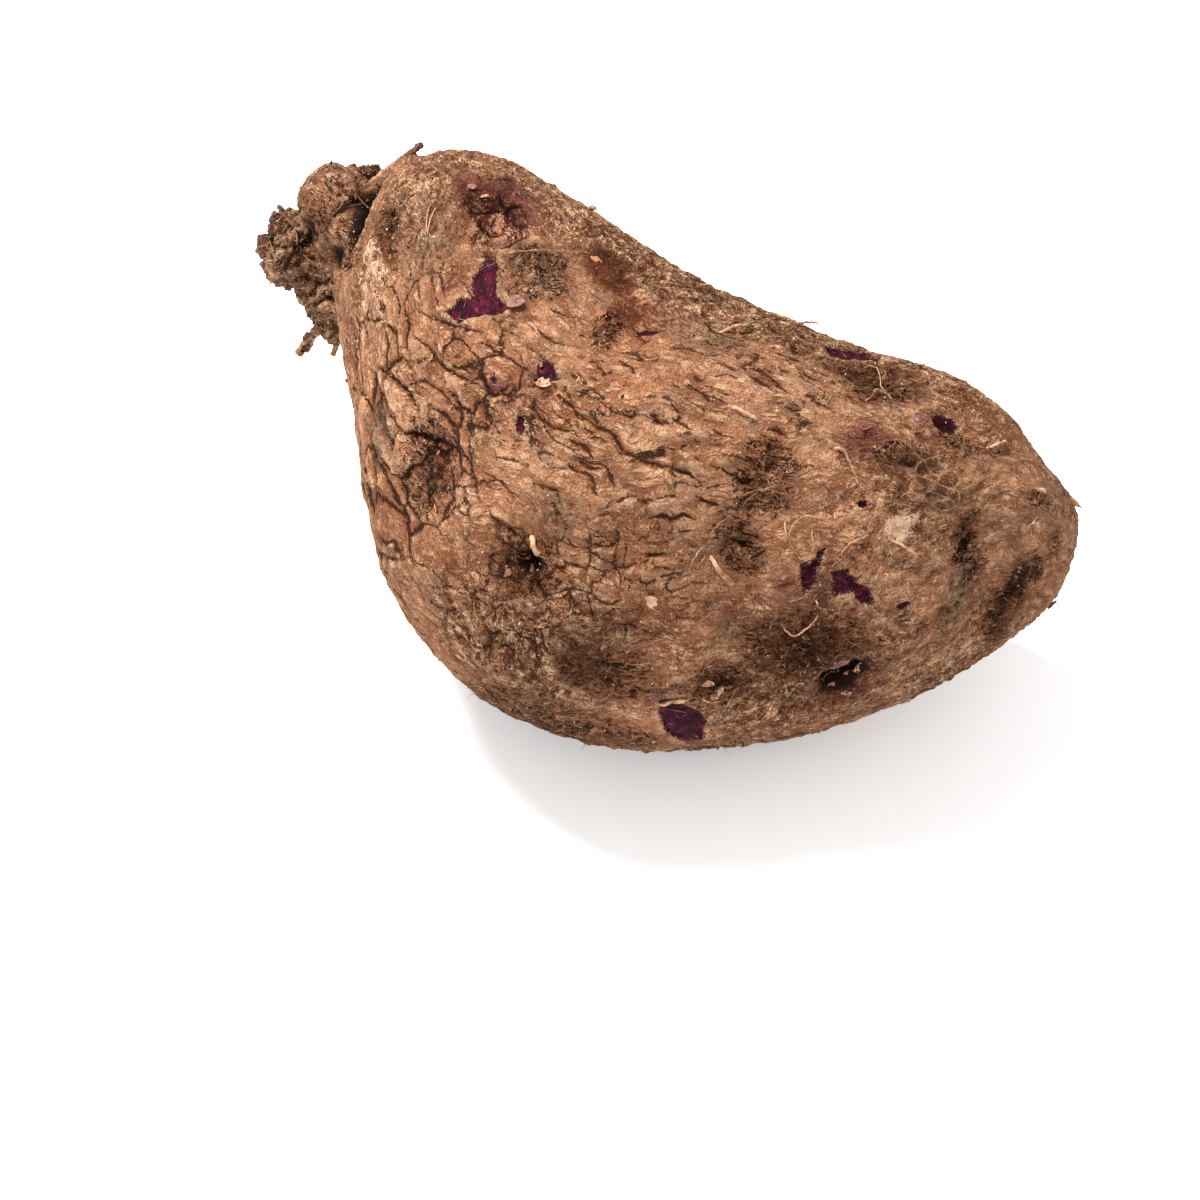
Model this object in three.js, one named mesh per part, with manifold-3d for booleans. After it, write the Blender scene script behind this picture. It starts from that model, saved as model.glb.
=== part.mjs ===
// A whole purple yam (Dioscorea alata) lying on its side, in millimetres, +Z up.
// The tuber grew as one piece, so it is one solid: the swollen body, the knotted crown at its -X end where the
// vine grew, and the stout root stubs that are part of the same tissue. +X points to the blunt growing tip.
// The origin is the middle of the footprint of its bounding box, on the surface that the yam rests on.
import * as THREE from "three";
import { mergeVertices } from "three/addons/utils/BufferGeometryUtils.js";
import Module from "manifold-3d";

// Driving dimensions of the body.
const BODY_START = -80; // where the shoulder behind the crown begins
const BODY_LENGTH = 165.5; // from there to the growing tip
const BODY_DETAIL = 15; // subdivisions of the icosahedron that the body is drawn from
const KNOB_DETAIL = 4; // the same for each knob of the crown
const END_BLUNTNESS = 2.5; // 2 gives the ends of an ellipsoid, more makes them blunter
const FLAT_DEPTH = 1.6; // how far the resting side is worn flat
const ROOT_SIDES = 8;
const ROOT_STEPS = 6;

// The girth along the body, from the shoulder (along 0) to the tip (along 1): the middle of the girth sideways
// (y) and in height (z), and its half-width and half-height.
const GIRTHS = [
  { along: 0.0, y: 19, z: 53, halfWidth: 27, halfHeight: 30 },
  { along: 0.12, y: 14, z: 50, halfWidth: 35, halfHeight: 38 },
  { along: 0.37, y: -8, z: 46, halfWidth: 45, halfHeight: 46 },
  { along: 0.58, y: -15, z: 45, halfWidth: 45, halfHeight: 45 },
  { along: 0.79, y: 1, z: 40, halfWidth: 41, halfHeight: 41 },
  { along: 1.0, y: 19, z: 38, halfWidth: 33, halfHeight: 33 },
];

// Swellings (height above 0) and hollows (below 0) of the body. Each is centred where the body's surface is at
// that share of its length and that angle round it: 0 at +Y, 90 on top, 180 at -Y, -90 underneath.
const SWELLS = [
  { name: "shoulder swelling", along: 0.17, angle: 76, height: 4.6, spread: 19 },
  { name: "tip shoulder", along: 0.84, angle: 58, height: 3.2, spread: 15 },
  { name: "flank bulge", along: 0.31, angle: 176, height: 4.0, spread: 24 },
  { name: "deep dent beside the flank ridge", along: 0.37, angle: 146, height: -5.5, spread: 11 },
  { name: "flank ridge", along: 0.41, angle: 127, height: 2.6, spread: 10 },
  { name: "root hollow", along: 0.54, angle: 153, height: -2.6, spread: 7 },
  { name: "flattened crest", along: 0.4, angle: 90, height: -1.0, spread: 14 },
  { name: "crest valley", along: 0.51, angle: 94, height: -2.2, spread: 8 },
  { name: "crest swelling", along: 0.56, angle: 113, height: 2.4, spread: 15 },
  { name: "far edge of the crest", along: 0.59, angle: 56, height: 1.4, spread: 15 },
  { name: "upper pit", along: 0.73, angle: 120, height: -2.2, spread: 8 },
  { name: "lower pit", along: 0.73, angle: 138, height: -3.4, spread: 8 },
  { name: "hairy hollow", along: 0.76, angle: 74, height: -2.6, spread: 8 },
  { name: "flank crease", along: 0.745, angle: 160, height: -2.0, spread: 6 },
  { name: "flank rib", along: 0.765, angle: 172, height: 1.8, spread: 8 },
  { name: "overhanging lobe", along: 0.865, angle: 155, height: 4.6, spread: 15 },
  { name: "lobe fold, upper", along: 0.925, angle: 128, height: -4.2, spread: 7 },
  { name: "lobe fold, middle", along: 0.93, angle: 165, height: -4.6, spread: 7 },
  { name: "lobe fold, lower", along: 0.9, angle: -168, height: -3.4, spread: 7 },
  { name: "tip hollow", along: 0.97, angle: 150, height: -3.6, spread: 8 },
  { name: "tip undercut", along: 0.975, angle: -172, height: -6.4, spread: 12 },
  { name: "netted hollow", along: 0.875, angle: 106, height: -2.0, spread: 9 },
  { name: "wart hollow", along: 0.845, angle: -176, height: -3.0, spread: 6 },
  { name: "stub hollow", along: 0.745, angle: -176, height: -2.4, spread: 7 },
  { name: "lower lump", along: 0.71, angle: -160, height: 2.2, spread: 9 },
  { name: "rear swelling", along: 0.3, angle: 8, height: 3.4, spread: 22 },
  { name: "rear valley", along: 0.56, angle: 24, height: -3.0, spread: 15 },
  { name: "rear tip lobe", along: 0.76, angle: -12, height: 3.6, spread: 18 },
  { name: "rear dent", along: 0.44, angle: -30, height: -3.6, spread: 11 },
  { name: "rear crease", along: 0.9, angle: 28, height: -2.6, spread: 9 },
  { name: "neck dent", along: 0.12, angle: -60, height: -2.6, spread: 12 },
  { name: "front heel", along: 0.4, angle: -112, height: 1.6, spread: 20 },
  { name: "rear heel", along: 0.42, angle: -66, height: 4.2, spread: 20 },
  { name: "tip heel", along: 0.7, angle: -76, height: 3.8, spread: 20 },
];

// The knobs of the crown: where each is centred, its half-sizes, and how rough it is.
const KNOBS = [
  { name: "bud lobe", at: [-80.8, 17.8, 64], size: [7.6, 7.6, 8.8], rough: 0.06 },
  { name: "old stem base", at: [-88.4, 10.8, 54.2], size: [8.6, 7.6, 7.8], rough: 0.08 },
  { name: "lower mass", at: [-80.8, 12.4, 45.4], size: [7.8, 7.8, 8.4], rough: 0.1 },
  { name: "inner mass", at: [-76.5, 20, 51.5], size: [12, 12.5, 16], rough: 0.05 },
  { name: "neck mass", at: [-82.6, 15.5, 54], size: [8.4, 8.4, 9.2], rough: 0.08 },
  { name: "root cluster", at: [-77.6, 12, 37.4], size: [5, 4.8, 5], rough: 0.12 },
  { name: "far lobe", at: [-77.8, 23.4, 63.6], size: [6.4, 6.6, 6.8], rough: 0.1 },
  { name: "rear mass", at: [-82, 25, 55], size: [7.5, 8.4, 8.6], rough: 0.11 },
];

// The scar where the vine broke off: a shallow cup in the end of the old stem base.
const SCAR = { at: [-98.5, 8.4, 53], size: [3.8, 4.2, 3.8] };

// Stout root stubs: the points that each runs through, from its root to its broken end, and its thickness.
const ROOT_STUBS = [
  {
    name: "lower stub",
    path: [[-77, 15, 37], [-80.5, 13.4, 37], [-83.5, 10.2, 34.8], [-87, 8, 28.6]],
    thickness: 2.3,
  },
  {
    name: "upper stub",
    path: [[-76, 19, 67], [-72, 21.9, 72.3], [-68.5, 22.6, 76.2], [-65, 23.8, 80.2]],
    thickness: 2.2,
  },
  { name: "scar spur", path: [[-86, 11, 57], [-88, 10.8, 61], [-89.6, 9.6, 65]], thickness: 1.5 },
];

const wasm = await Module();
wasm.setup();

// One field of GIRTHS at a share of the body's length, along a smooth curve through its stations.
function girthAt(along, field) {
  const last = GIRTHS.length - 1;
  const station = (k) => GIRTHS[THREE.MathUtils.clamp(k, 0, last)];
  const i = Math.min(last - 1, GIRTHS.findLastIndex((girth) => girth.along <= along));
  const t = (along - GIRTHS[i].along) / (GIRTHS[i + 1].along - GIRTHS[i].along);
  const [before, from, to, after] = [i - 1, i, i + 1, i + 2].map((k) => station(k)[field]);
  const slopeOut = (to - before) / 2;
  const slopeIn = (after - from) / 2;
  const blend = t * t * (3 - 2 * t);
  return from + (to - from) * blend + slopeOut * t * (1 - t) ** 2 - slopeIn * t * t * (1 - t);
}

// The middle of the girth at a share of the body's length.
function girthCentre(along) {
  return new THREE.Vector3(BODY_START + along * BODY_LENGTH, girthAt(along, "y"), girthAt(along, "z"));
}

// The smooth body's surface at a share of its length and an angle round it, before its swellings and hollows.
function bodyPoint(along, angle) {
  const endward = Math.abs(2 * along - 1);
  const rounding = (1 - endward ** END_BLUNTNESS) ** (1 / END_BLUNTNESS);
  const across = rounding * girthAt(along, "halfWidth") * Math.cos(angle);
  const up = rounding * girthAt(along, "halfHeight") * Math.sin(angle);
  return girthCentre(along).add(new THREE.Vector3(0, across, up));
}

// Moves every vertex of a unit icosphere to the place that shape(direction) gives for its direction.
function mouldedSphere(detail, shape) {
  const geometry = new THREE.IcosahedronGeometry(1, detail);
  const position = geometry.attributes.position;
  const direction = new THREE.Vector3();
  for (let i = 0; i < position.count; i++) {
    direction.fromBufferAttribute(position, i).normalize();
    position.setXYZ(i, ...shape(direction));
  }
  return geometry;
}

// The body with its swellings and hollows. Each fades out with distance from its centre, as a bell curve does.
function body() {
  const swells = SWELLS.map((swell) => ({
    ...swell,
    centre: bodyPoint(swell.along, THREE.MathUtils.degToRad(swell.angle)),
  }));
  const middle = girthCentre(0.5);
  return mouldedSphere(BODY_DETAIL, (direction) => {
    const along = (1 + direction.x) / 2;
    const point = bodyPoint(along, Math.atan2(direction.z, direction.y));
    const inside = girthCentre(along).lerp(middle, 0.25);
    const outward = point.clone().sub(inside).normalize();
    for (const swell of swells) {
      const distance = point.distanceTo(swell.centre) / swell.spread;
      point.addScaledVector(outward, swell.height * Math.exp(-distance * distance));
    }
    return point;
  });
}

// One knob of the crown: an ellipsoid with rounded knots, which a product of slow waves places unevenly.
function knob({ at, size, rough }) {
  const half = new THREE.Vector3(...size);
  const middle = new THREE.Vector3(...at);
  return mouldedSphere(KNOB_DETAIL, (direction) => {
    const wave = direction.clone().multiplyScalar(3.1).add(middle);
    const knots = Math.sin(wave.x * 1.3 + wave.y) + Math.sin(wave.y * 1.7 - wave.z) + Math.sin(wave.z * 1.5 + wave.x);
    return direction.clone().multiply(half).multiplyScalar(1 + rough * knots).add(middle);
  });
}

// A root stub: a round rod along a smooth curve through its points.
function rootStub({ path, thickness }) {
  const extrudePath = new THREE.CatmullRomCurve3(path.map((point) => new THREE.Vector3(...point)));
  const section = new THREE.Shape().absarc(0, 0, thickness / 2, 0, 2 * Math.PI);
  return new THREE.ExtrudeGeometry(section, { steps: ROOT_STEPS, curveSegments: ROOT_SIDES, extrudePath });
}

// A closed geometry as a manifold-3d solid.
function solidFrom(geometry) {
  const bare = geometry.index ? geometry.toNonIndexed() : geometry.clone();
  bare.deleteAttribute("normal");
  bare.deleteAttribute("uv");
  const merged = mergeVertices(bare, 1e-3);
  const vertProperties = merged.attributes.position.array;
  const triVerts = new Uint32Array(merged.index.array);
  return new wasm.Manifold(new wasm.Mesh({ numProp: 3, vertProperties, triVerts }));
}

// A manifold-3d solid as a three.js geometry.
function geometryFrom(solid) {
  const { vertProperties, triVerts } = solid.getMesh();
  const geometry = new THREE.BufferGeometry();
  geometry.setAttribute("position", new THREE.BufferAttribute(vertProperties, 3));
  geometry.setIndex(new THREE.BufferAttribute(triVerts, 1));
  return geometry;
}

// The whole yam as one solid: body, crown and root stubs grown together, with the scar and the worn flat cut off.
function tuberSolid() {
  const grown = [body(), ...KNOBS.map(knob), ...ROOT_STUBS.map(rootStub)].map(solidFrom);
  const whole = grown.reduce((sum, piece) => sum.add(piece));
  const cup = new THREE.SphereGeometry(1, 16, 10).scale(...SCAR.size).translate(...SCAR.at);
  const scarred = whole.subtract(solidFrom(cup));
  const lowest = scarred.boundingBox().min[2];
  const reach = 2 * BODY_LENGTH;
  const below = new THREE.BoxGeometry(reach, reach, reach).translate(0, 0, lowest + FLAT_DEPTH - reach / 2);
  return scarred.subtract(solidFrom(below));
}

const skin = new THREE.MeshStandardMaterial({ color: 0x9c7152, roughness: 0.92, metalness: 0 });
const tuber = new THREE.Mesh(geometryFrom(tuberSolid()), skin);
tuber.name = "tuber";

// The footprint's middle comes to the origin and the worn flat to z = 0.
tuber.geometry.computeBoundingBox();
const { min, max } = tuber.geometry.boundingBox;
tuber.position.set(-(min.x + max.x) / 2, -(min.y + max.y) / 2, -min.z);

const yam = new THREE.Group();
yam.add(tuber);
export default yam;
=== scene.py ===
"""A whole purple yam lying on its side: cracked bark, peeled purple patches, a knotted crown and wiry roots.

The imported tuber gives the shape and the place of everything. This script gives it its skin. Lengths that are
named in millimetres are turned into metres where Blender needs them.
"""

from __future__ import annotations

import logging
import math
from dataclasses import dataclass, field
from enum import Enum
from typing import Any, Callable, Mapping, Sequence, Union

import bmesh
import bpy
import numpy as np
from bpy.types import Material, Mesh, Node, NodeSocket, NodeTree, Object
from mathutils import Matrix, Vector

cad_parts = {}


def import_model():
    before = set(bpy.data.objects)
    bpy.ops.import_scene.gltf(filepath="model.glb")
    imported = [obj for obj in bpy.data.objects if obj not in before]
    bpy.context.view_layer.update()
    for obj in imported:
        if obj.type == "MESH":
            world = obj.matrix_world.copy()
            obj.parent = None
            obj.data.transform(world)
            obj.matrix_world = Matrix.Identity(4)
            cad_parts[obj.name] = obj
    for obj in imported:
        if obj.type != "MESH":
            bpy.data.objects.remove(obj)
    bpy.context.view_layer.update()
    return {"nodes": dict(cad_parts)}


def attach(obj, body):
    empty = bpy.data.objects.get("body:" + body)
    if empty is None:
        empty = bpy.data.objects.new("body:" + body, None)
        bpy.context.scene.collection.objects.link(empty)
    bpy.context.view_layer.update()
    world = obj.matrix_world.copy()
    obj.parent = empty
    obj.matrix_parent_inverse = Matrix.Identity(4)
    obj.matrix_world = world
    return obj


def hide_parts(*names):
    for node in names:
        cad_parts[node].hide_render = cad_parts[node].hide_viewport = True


LOG = logging.getLogger("purple_yam")
MM = 0.001
BODY = "root"
TUBER_NODE = "tuber"
FAR = 9.0  # a distance in millimetres that counts as out of reach

Colour = tuple[float, float, float, float]
Size = Union[int, float]
Key = Union[str, int]
Feed = Union["Term", float, int, bool, str, Sequence[float], Material]


def srgb(red: int, green: int, blue: int) -> Colour:
    """A colour as the renderer wants it.

    Args:
        red: 0 to 255, as a screen shows it.
        green: 0 to 255.
        blue: 0 to 255.

    Returns:
        The linear colour, with an alpha of 1.
    """
    shares = (red / 255, green / 255, blue / 255)
    linear = [s / 12.92 if s <= 0.04045 else ((s + 0.055) / 1.055) ** 2.4 for s in shares]
    return (linear[0], linear[1], linear[2], 1.0)


def smoothstep(low: float, high: float, value: np.ndarray) -> np.ndarray:
    """0 below low, 1 above high, and smooth between them."""
    share = np.clip((value - low) / (high - low), 0, 1)
    return share * share * (3 - 2 * share)


def sizes_of(thing: Any, *names: str) -> dict[str, Size]:
    """Some of a thing's sizes, under the names that the inputs of its tree have."""
    return {name.replace("_", " ").title(): getattr(thing, name) for name in names}


class TreeKind(Enum):
    """The two kinds of node tree that a pattern can be drawn in."""

    SHADER = "ShaderNodeTree"
    GEOMETRY = "GeometryNodeTree"

    @property
    def group(self) -> str:
        """The type of the node that holds a group in such a tree."""
        return self.value.replace("Tree", "Group")


class Mark(Enum):
    """What can mark the skin. Each is a field of the mesh: 1 in the middle of a mark and 0 away from it."""

    PLATES = "plates"
    FISSURES = "fissures"
    CRACKLE = "crackle"
    FUZZ = "fuzz"
    CROWN = "crown"
    PEEL = "peel"
    SWELL = "swell"
    STAIN = "stain"
    RUSSET = "russet"
    SOIL = "soil"
    # sunk into the shape, and painted dark there as shadow
    HOLLOW = "hollow"
    DUST = "dust"
    PALE = "pale"
    NET = "net"
    # weathered bark, and painted shade on the lower sides and underside
    AGED = "aged"


class Term:
    """What a node puts out. Sums, products and steps of it are written as a formula."""

    def __init__(self, sketch: Sketch, socket: NodeSocket) -> None:
        """Takes up one output of a node in the sketch's tree."""
        self.sketch = sketch
        self.socket = socket

    def __add__(self, other: Feed) -> Term:
        """Its sum with another number."""
        return self.sketch.math("ADD", self, other)

    def __mul__(self, other: Feed) -> Term:
        """Its product with another number."""
        return self.sketch.math("MULTIPLY", self, other)

    def __sub__(self, other: Feed) -> Term:
        """It, less another number."""
        return self.sketch.math("SUBTRACT", self, other)

    def __rsub__(self, other: Feed) -> Term:
        """Another number, less it."""
        return self.sketch.math("SUBTRACT", other, self)

    def __truediv__(self, other: Feed) -> Term:
        """It, divided by another number."""
        return self.sketch.math("DIVIDE", self, other)

    def __abs__(self) -> Term:
        """It, without its sign."""
        return self.sketch.math("ABSOLUTE", self)

    __radd__ = __add__
    __rmul__ = __mul__

    def ramp(self, low: Feed, high: Feed, start: Feed = 0.0, end: Feed = 1.0) -> Term:
        """A smooth step from start, where it is low, to end, where it is high."""
        feeds = {0: self, 1: low, 2: high, 3: start, 4: end}
        return self.sketch.out("ShaderNodeMapRange", feeds, interpolation_type="SMOOTHSTEP")

    def centred(self, reach: Feed = 1.0) -> Term:
        """A share from 0 to 1 turned into a height from minus half to plus half of a reach."""
        return (self - 0.5) * reach

    def parts(self) -> tuple[Term, ...]:
        """The three numbers of a vector or a colour."""
        return tuple(self.sketch.terms(self.sketch.node("ShaderNodeSeparateXYZ", {0: self})).values())


class Sketch:
    """Adds nodes to one tree and links them, so that a pattern reads as a formula."""

    def __init__(self, tree: NodeTree) -> None:
        """Starts drawing in a tree."""
        self.tree = tree

    def node(self, kind: str, feeds: Mapping[Key, Feed], **settings: Any) -> Node:
        """Adds one node.

        Args:
            kind: Blender's name of the node type.
            feeds: what goes into each input, a term or a constant.
            settings: the node's own options.

        Returns:
            The node.
        """
        made = self.tree.nodes.new(kind)
        for name, value in settings.items():
            setattr(made, name, value)
        for key, value in feeds.items():
            self.feed(made.inputs[key], value)
        return made

    def out(self, kind: str, feeds: Mapping[Key, Feed], output: Key = 0, **settings: Any) -> Term:
        """One output of a new node, by its name or number. The rest is as for a node."""
        return Term(self, self.node(kind, feeds, **settings).outputs[output])

    def feed(self, socket: NodeSocket, value: Feed) -> None:
        """Links a term into an input, or sets the input to a constant.

        Args:
            socket: the input.
            value: the term or the constant.
        """
        if isinstance(value, Term):
            self.tree.links.new(value.socket, socket)
        else:
            socket.default_value = value

    def terms(self, node: Node) -> dict[str, Term]:
        """All that a node puts out, by name."""
        return {socket.name: Term(self, socket) for socket in node.outputs if socket.name}

    def math(self, operation: str, *terms: Feed, clamp: bool = False) -> Term:
        """The result of a Math node."""
        return self.out("ShaderNodeMath", dict(enumerate(terms)), operation=operation, use_clamp=clamp)

    def highest(self, *terms: Feed) -> Term:
        """Finds the largest of some numbers.

        Args:
            terms: two or more numbers.

        Returns:
            The largest.
        """
        total = terms[0]
        for term in terms[1:]:
            total = self.math("MAXIMUM", total, term)
        return total

    def vector(self, operation: str, *terms: Feed) -> Term:
        """The vector result of a Vector Math node."""
        return self.out("ShaderNodeVectorMath", dict(enumerate(terms)), operation=operation)

    def scaled(self, vector: Feed, factor: Feed) -> Term:
        """A vector times a number."""
        return self.out("ShaderNodeVectorMath", {0: vector, "Scale": factor}, operation="SCALE")

    def blend(self, share: Feed, first: Feed, second: Feed) -> Term:
        """Two numbers mixed by a share."""
        return self.out("ShaderNodeMix", {0: share, 2: first, 3: second})

    def tint(self, share: Feed, first: Feed, second: Feed, mode: str = "MIX") -> Term:
        """Two colours mixed by a share."""
        feeds = {0: share, 6: first, 7: second}
        return self.out("ShaderNodeMix", feeds, 2, data_type="RGBA", blend_type=mode)

    def painted(self, colour: Feed, *coats: tuple[Feed, Feed]) -> Term:
        """Lays coats of colour over another.

        Args:
            colour: what is under them.
            coats: a share and a colour for each one.

        Returns:
            The colour with its coats.
        """
        for share, coat in coats:
            colour = self.tint(share, colour, coat)
        return colour

    def cloud(self, place: Feed, size: float, detail: float = 2, rough: float = 0.5, output: int = 0) -> Term:
        """Noise whose largest features are about one size across."""
        feeds = {"Vector": place, "Scale": 1 / size, "Detail": detail, "Roughness": rough}
        return self.out("ShaderNodeTexNoise", feeds, output)

    def clouds(self, place: Feed, size: float, detail: float = 2.0, rough: float = 0.5) -> Term:
        """Three noises of one size, as a vector."""
        return self.cloud(place, size, detail, rough, output=1)

    def push(self, place: Feed, size: float, reach: Feed, detail: float = 2.0) -> Term:
        """A push by noise of one size, half of a reach at the most."""
        return self.scaled(self.vector("SUBTRACT", self.clouds(place, size, detail), (0.5, 0.5, 0.5)), reach)

    def cells(self, place: Feed, size: float) -> dict[str, Term]:
        """Cells of one size: the nearest one's Distance, its own random Color and its Position."""
        feeds = {"Vector": place, "Scale": 1 / size}
        return self.terms(self.node("ShaderNodeTexVoronoi", feeds, feature="F1"))

    def edge_gap(self, place: Feed, size: float) -> Term:
        """How far a point is from the nearest edge between cells of one size."""
        feeds = {"Vector": place, "Scale": 1 / size}
        return self.out("ShaderNodeTexVoronoi", feeds, "Distance", feature="DISTANCE_TO_EDGE") * size

    def stretched(self, place: Feed, along: float) -> Term:
        """A place drawn out along the grain, which runs along its first axis."""
        return self.vector("MULTIPLY", place, (1 / along, 1.0, 1.0))

    def attribute(self, name: str, kind: str = "FLOAT") -> Term:
        """Reads the mesh's own value of a name, in either kind of tree.

        Args:
            name: the value's name.
            kind: its type of data.

        Returns:
            The value.
        """
        if self.tree.bl_idname == TreeKind.GEOMETRY.value:
            return self.out("GeometryNodeInputNamedAttribute", {"Name": name}, data_type=kind)
        output = "Vector" if kind == "FLOAT_VECTOR" else "Fac"
        return self.out("ShaderNodeAttribute", {}, output, attribute_name=name, attribute_type="GEOMETRY")

    def vectors(self, name: str) -> Term:
        """The mesh's own vector of a name."""
        return self.attribute(name, "FLOAT_VECTOR")

    def mark(self, mark: Mark) -> Term:
        """How strong a mark is."""
        return self.attribute(mark.value)

    def typed(self, kind: str, feeds: Mapping[str, Feed], **settings: Any) -> Term:
        """Adds a node whose sockets depend on its type of data.

        Args:
            kind: Blender's name of the node type.
            feeds: what goes into each input in use, by name.
            settings: the node's own options.

        Returns:
            The output in use.
        """
        made = self.node(kind, {}, **settings)
        for key, value in feeds.items():
            self.feed(next(s for s in made.inputs if s.name == key and s.enabled), value)
        return Term(self, next(s for s in made.outputs if s.enabled))

    def put_out(self, results: Mapping[str, Term]) -> None:
        """Ends a group.

        Args:
            results: what it puts out by name, colours or numbers.
        """
        for name, term in results.items():
            sort = "Color" if term.socket.type == "RGBA" else "Float"
            self.tree.interface.new_socket(name, in_out="OUTPUT", socket_type=f"NodeSocket{sort}")
        end = self.tree.nodes.new("NodeGroupOutput")
        for name, term in results.items():
            self.feed(end.inputs[name], term)

    def bump(self, shader: Node, height: Term, distance: float) -> None:
        """Gives a shader its relief, whose height of 1 is a distance in metres."""
        feeds = {"Strength": 1.0, "Distance": distance, "Height": height}
        self.feed(shader.inputs["Normal"], self.out("ShaderNodeBump", feeds))


def group_sketch(name: str, kind: TreeKind, inputs: Mapping[str, str]) -> tuple[Sketch, dict[str, Term]]:
    """Starts a node group.

    Args:
        name: its name.
        kind: the kind of tree that it can be placed in.
        inputs: the type of each named input, such as Float.

    Returns:
        A sketch of it, and its inputs by name.
    """
    tree = bpy.data.node_groups.new(name, kind.value)
    for key, sort in inputs.items():
        tree.interface.new_socket(key, in_out="INPUT", socket_type=f"NodeSocket{sort}")
    sketch = Sketch(tree)
    return sketch, sketch.terms(tree.nodes.new("NodeGroupInput"))


def blank_material(name: str) -> tuple[Material, Sketch, Node]:
    """Starts a material.

    Args:
        name: its name.

    Returns:
        The material, a sketch of its tree, and its shader.
    """
    made = bpy.data.materials.new(name)
    made.use_nodes = True
    return made, Sketch(made.node_tree), made.node_tree.nodes["Principled BSDF"]


class Growth(Sketch):
    """A Geometry Nodes tree, from a bare mesh to a dressed one, with named inputs for its sizes."""

    def __init__(self, name: str, sizes: Mapping[str, Size]) -> None:
        """Starts the tree.

        Args:
            name: the tree's name.
            sizes: its named inputs and what each one is unless a piece says otherwise.
        """
        sorts = {key: "Int" if isinstance(value, int) else "Float" for key, value in sizes.items()}
        inputs = {"Geometry": "Geometry", "Finish": "Material", **sorts}
        sketch, self.given = group_sketch(name, TreeKind.GEOMETRY, inputs)
        super().__init__(sketch.tree)
        for key, value in sizes.items():
            self.tree.interface.items_tree[key].default_value = value
        self.tree.interface.new_socket("Geometry", in_out="OUTPUT", socket_type="NodeSocketGeometry")

    def length(self, name: str) -> Term:
        """A named input that is given in millimetres, in metres."""
        return self.given[name] * MM

    def place(self) -> Term:
        """Where each point is."""
        return self.out("GeometryNodeInputPosition", {})

    def normal(self) -> Term:
        """Which way each point faces."""
        return self.out("GeometryNodeInputNormal", {})

    def moved(self, geometry: Term, **feeds: Feed) -> Term:
        """A geometry whose points are given another Position, or pushed by an Offset."""
        return self.out("GeometryNodeSetPosition", {"Geometry": geometry, **feeds})

    def stored(self, geometry: Term, name: str, value: Feed, kind: str = "FLOAT") -> Term:
        """A geometry with one value written onto each of its points."""
        feeds = {"Geometry": geometry, "Name": name, "Value": value}
        return self.typed("GeometryNodeStoreNamedAttribute", feeds, data_type=kind, domain="POINT")

    def relaxed(self, rounds: int, weight: Feed = 1.0) -> Term:
        """Each point's place, evened out over its neighbours."""
        feeds = {"Value": self.place(), "Iterations": rounds, "Weight": weight}
        return self.typed("GeometryNodeBlurAttribute", feeds, data_type="FLOAT_VECTOR")

    def stand(self, geometry: Term, name: str, rounds: int) -> Term:
        """Stores how far each point stands above what is around it.

        Args:
            geometry: the mesh.
            name: the field's name. It is in millimetres.
            rounds: how often what is around is evened out.

        Returns:
            The mesh with the field.
        """
        apart = self.vector("SUBTRACT", self.place(), self.relaxed(rounds))
        feeds = {0: apart, 1: self.normal()}
        height = self.out("ShaderNodeVectorMath", feeds, "Value", operation="DOT_PRODUCT")
        return self.stored(geometry, name, height * (1 / MM))

    def chance(self, low: Feed, high: Feed, seed: int) -> Term:
        """A random number for each point, from the tree's own seed."""
        feeds = {2: low, 3: high, "Seed": self.given["Seed"] + seed}
        return self.out("FunctionNodeRandomValue", feeds, 1, data_type="FLOAT")

    def curled(self, size: float, reach: Term) -> Term:
        """A push by noise of one size up to a reach, both in metres, that differs from strand to strand."""
        own = self.vector("ADD", self.place(), self.scaled((0.3, 0.7, 0.5), self.attribute("shade")))
        return self.push(self.vector("DIVIDE", own, (size, size, size)), 1.0, reach * 2.0, detail=1)

    def rods(self, curves: Term, width: Feed, sides: Feed) -> Term:
        """Makes closed rods round some curves.

        Args:
            curves: their middle lines.
            width: how wide they are, in metres.
            sides: how many sides they have.

        Returns:
            The rods.
        """
        profile = self.out("GeometryNodeCurvePrimitiveCircle", {"Resolution": sides, "Radius": 0.5})
        feeds = {"Curve": curves, "Profile Curve": profile, "Scale": width, "Fill Caps": True}
        return self.out("GeometryNodeCurveToMesh", feeds)

    def closed(self, geometry: Term) -> NodeTree:
        """Ends the tree.

        Args:
            geometry: its result, which is made real, kept above the floor and given its finish.

        Returns:
            The tree.
        """
        real = self.out("GeometryNodeRealizeInstances", {"Geometry": geometry})
        kept = self.moved(real, Position=self.vector("MAXIMUM", self.place(), (-1.0, -1.0, 0.0)))
        dressed = self.out("GeometryNodeSetMaterial", {"Geometry": kept, "Material": self.given["Finish"]})
        self.feed(self.tree.nodes.new("NodeGroupOutput").inputs[0], dressed)
        return self.tree


@dataclass(frozen=True)
class Place:
    """A place on the skin."""

    along: float  # 0 at the crown's end of the yam, 1 at its growing tip
    angle: float  # degrees round the yam's middle line: 0 at +Y, 90 on top, 180 at -Y


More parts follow.
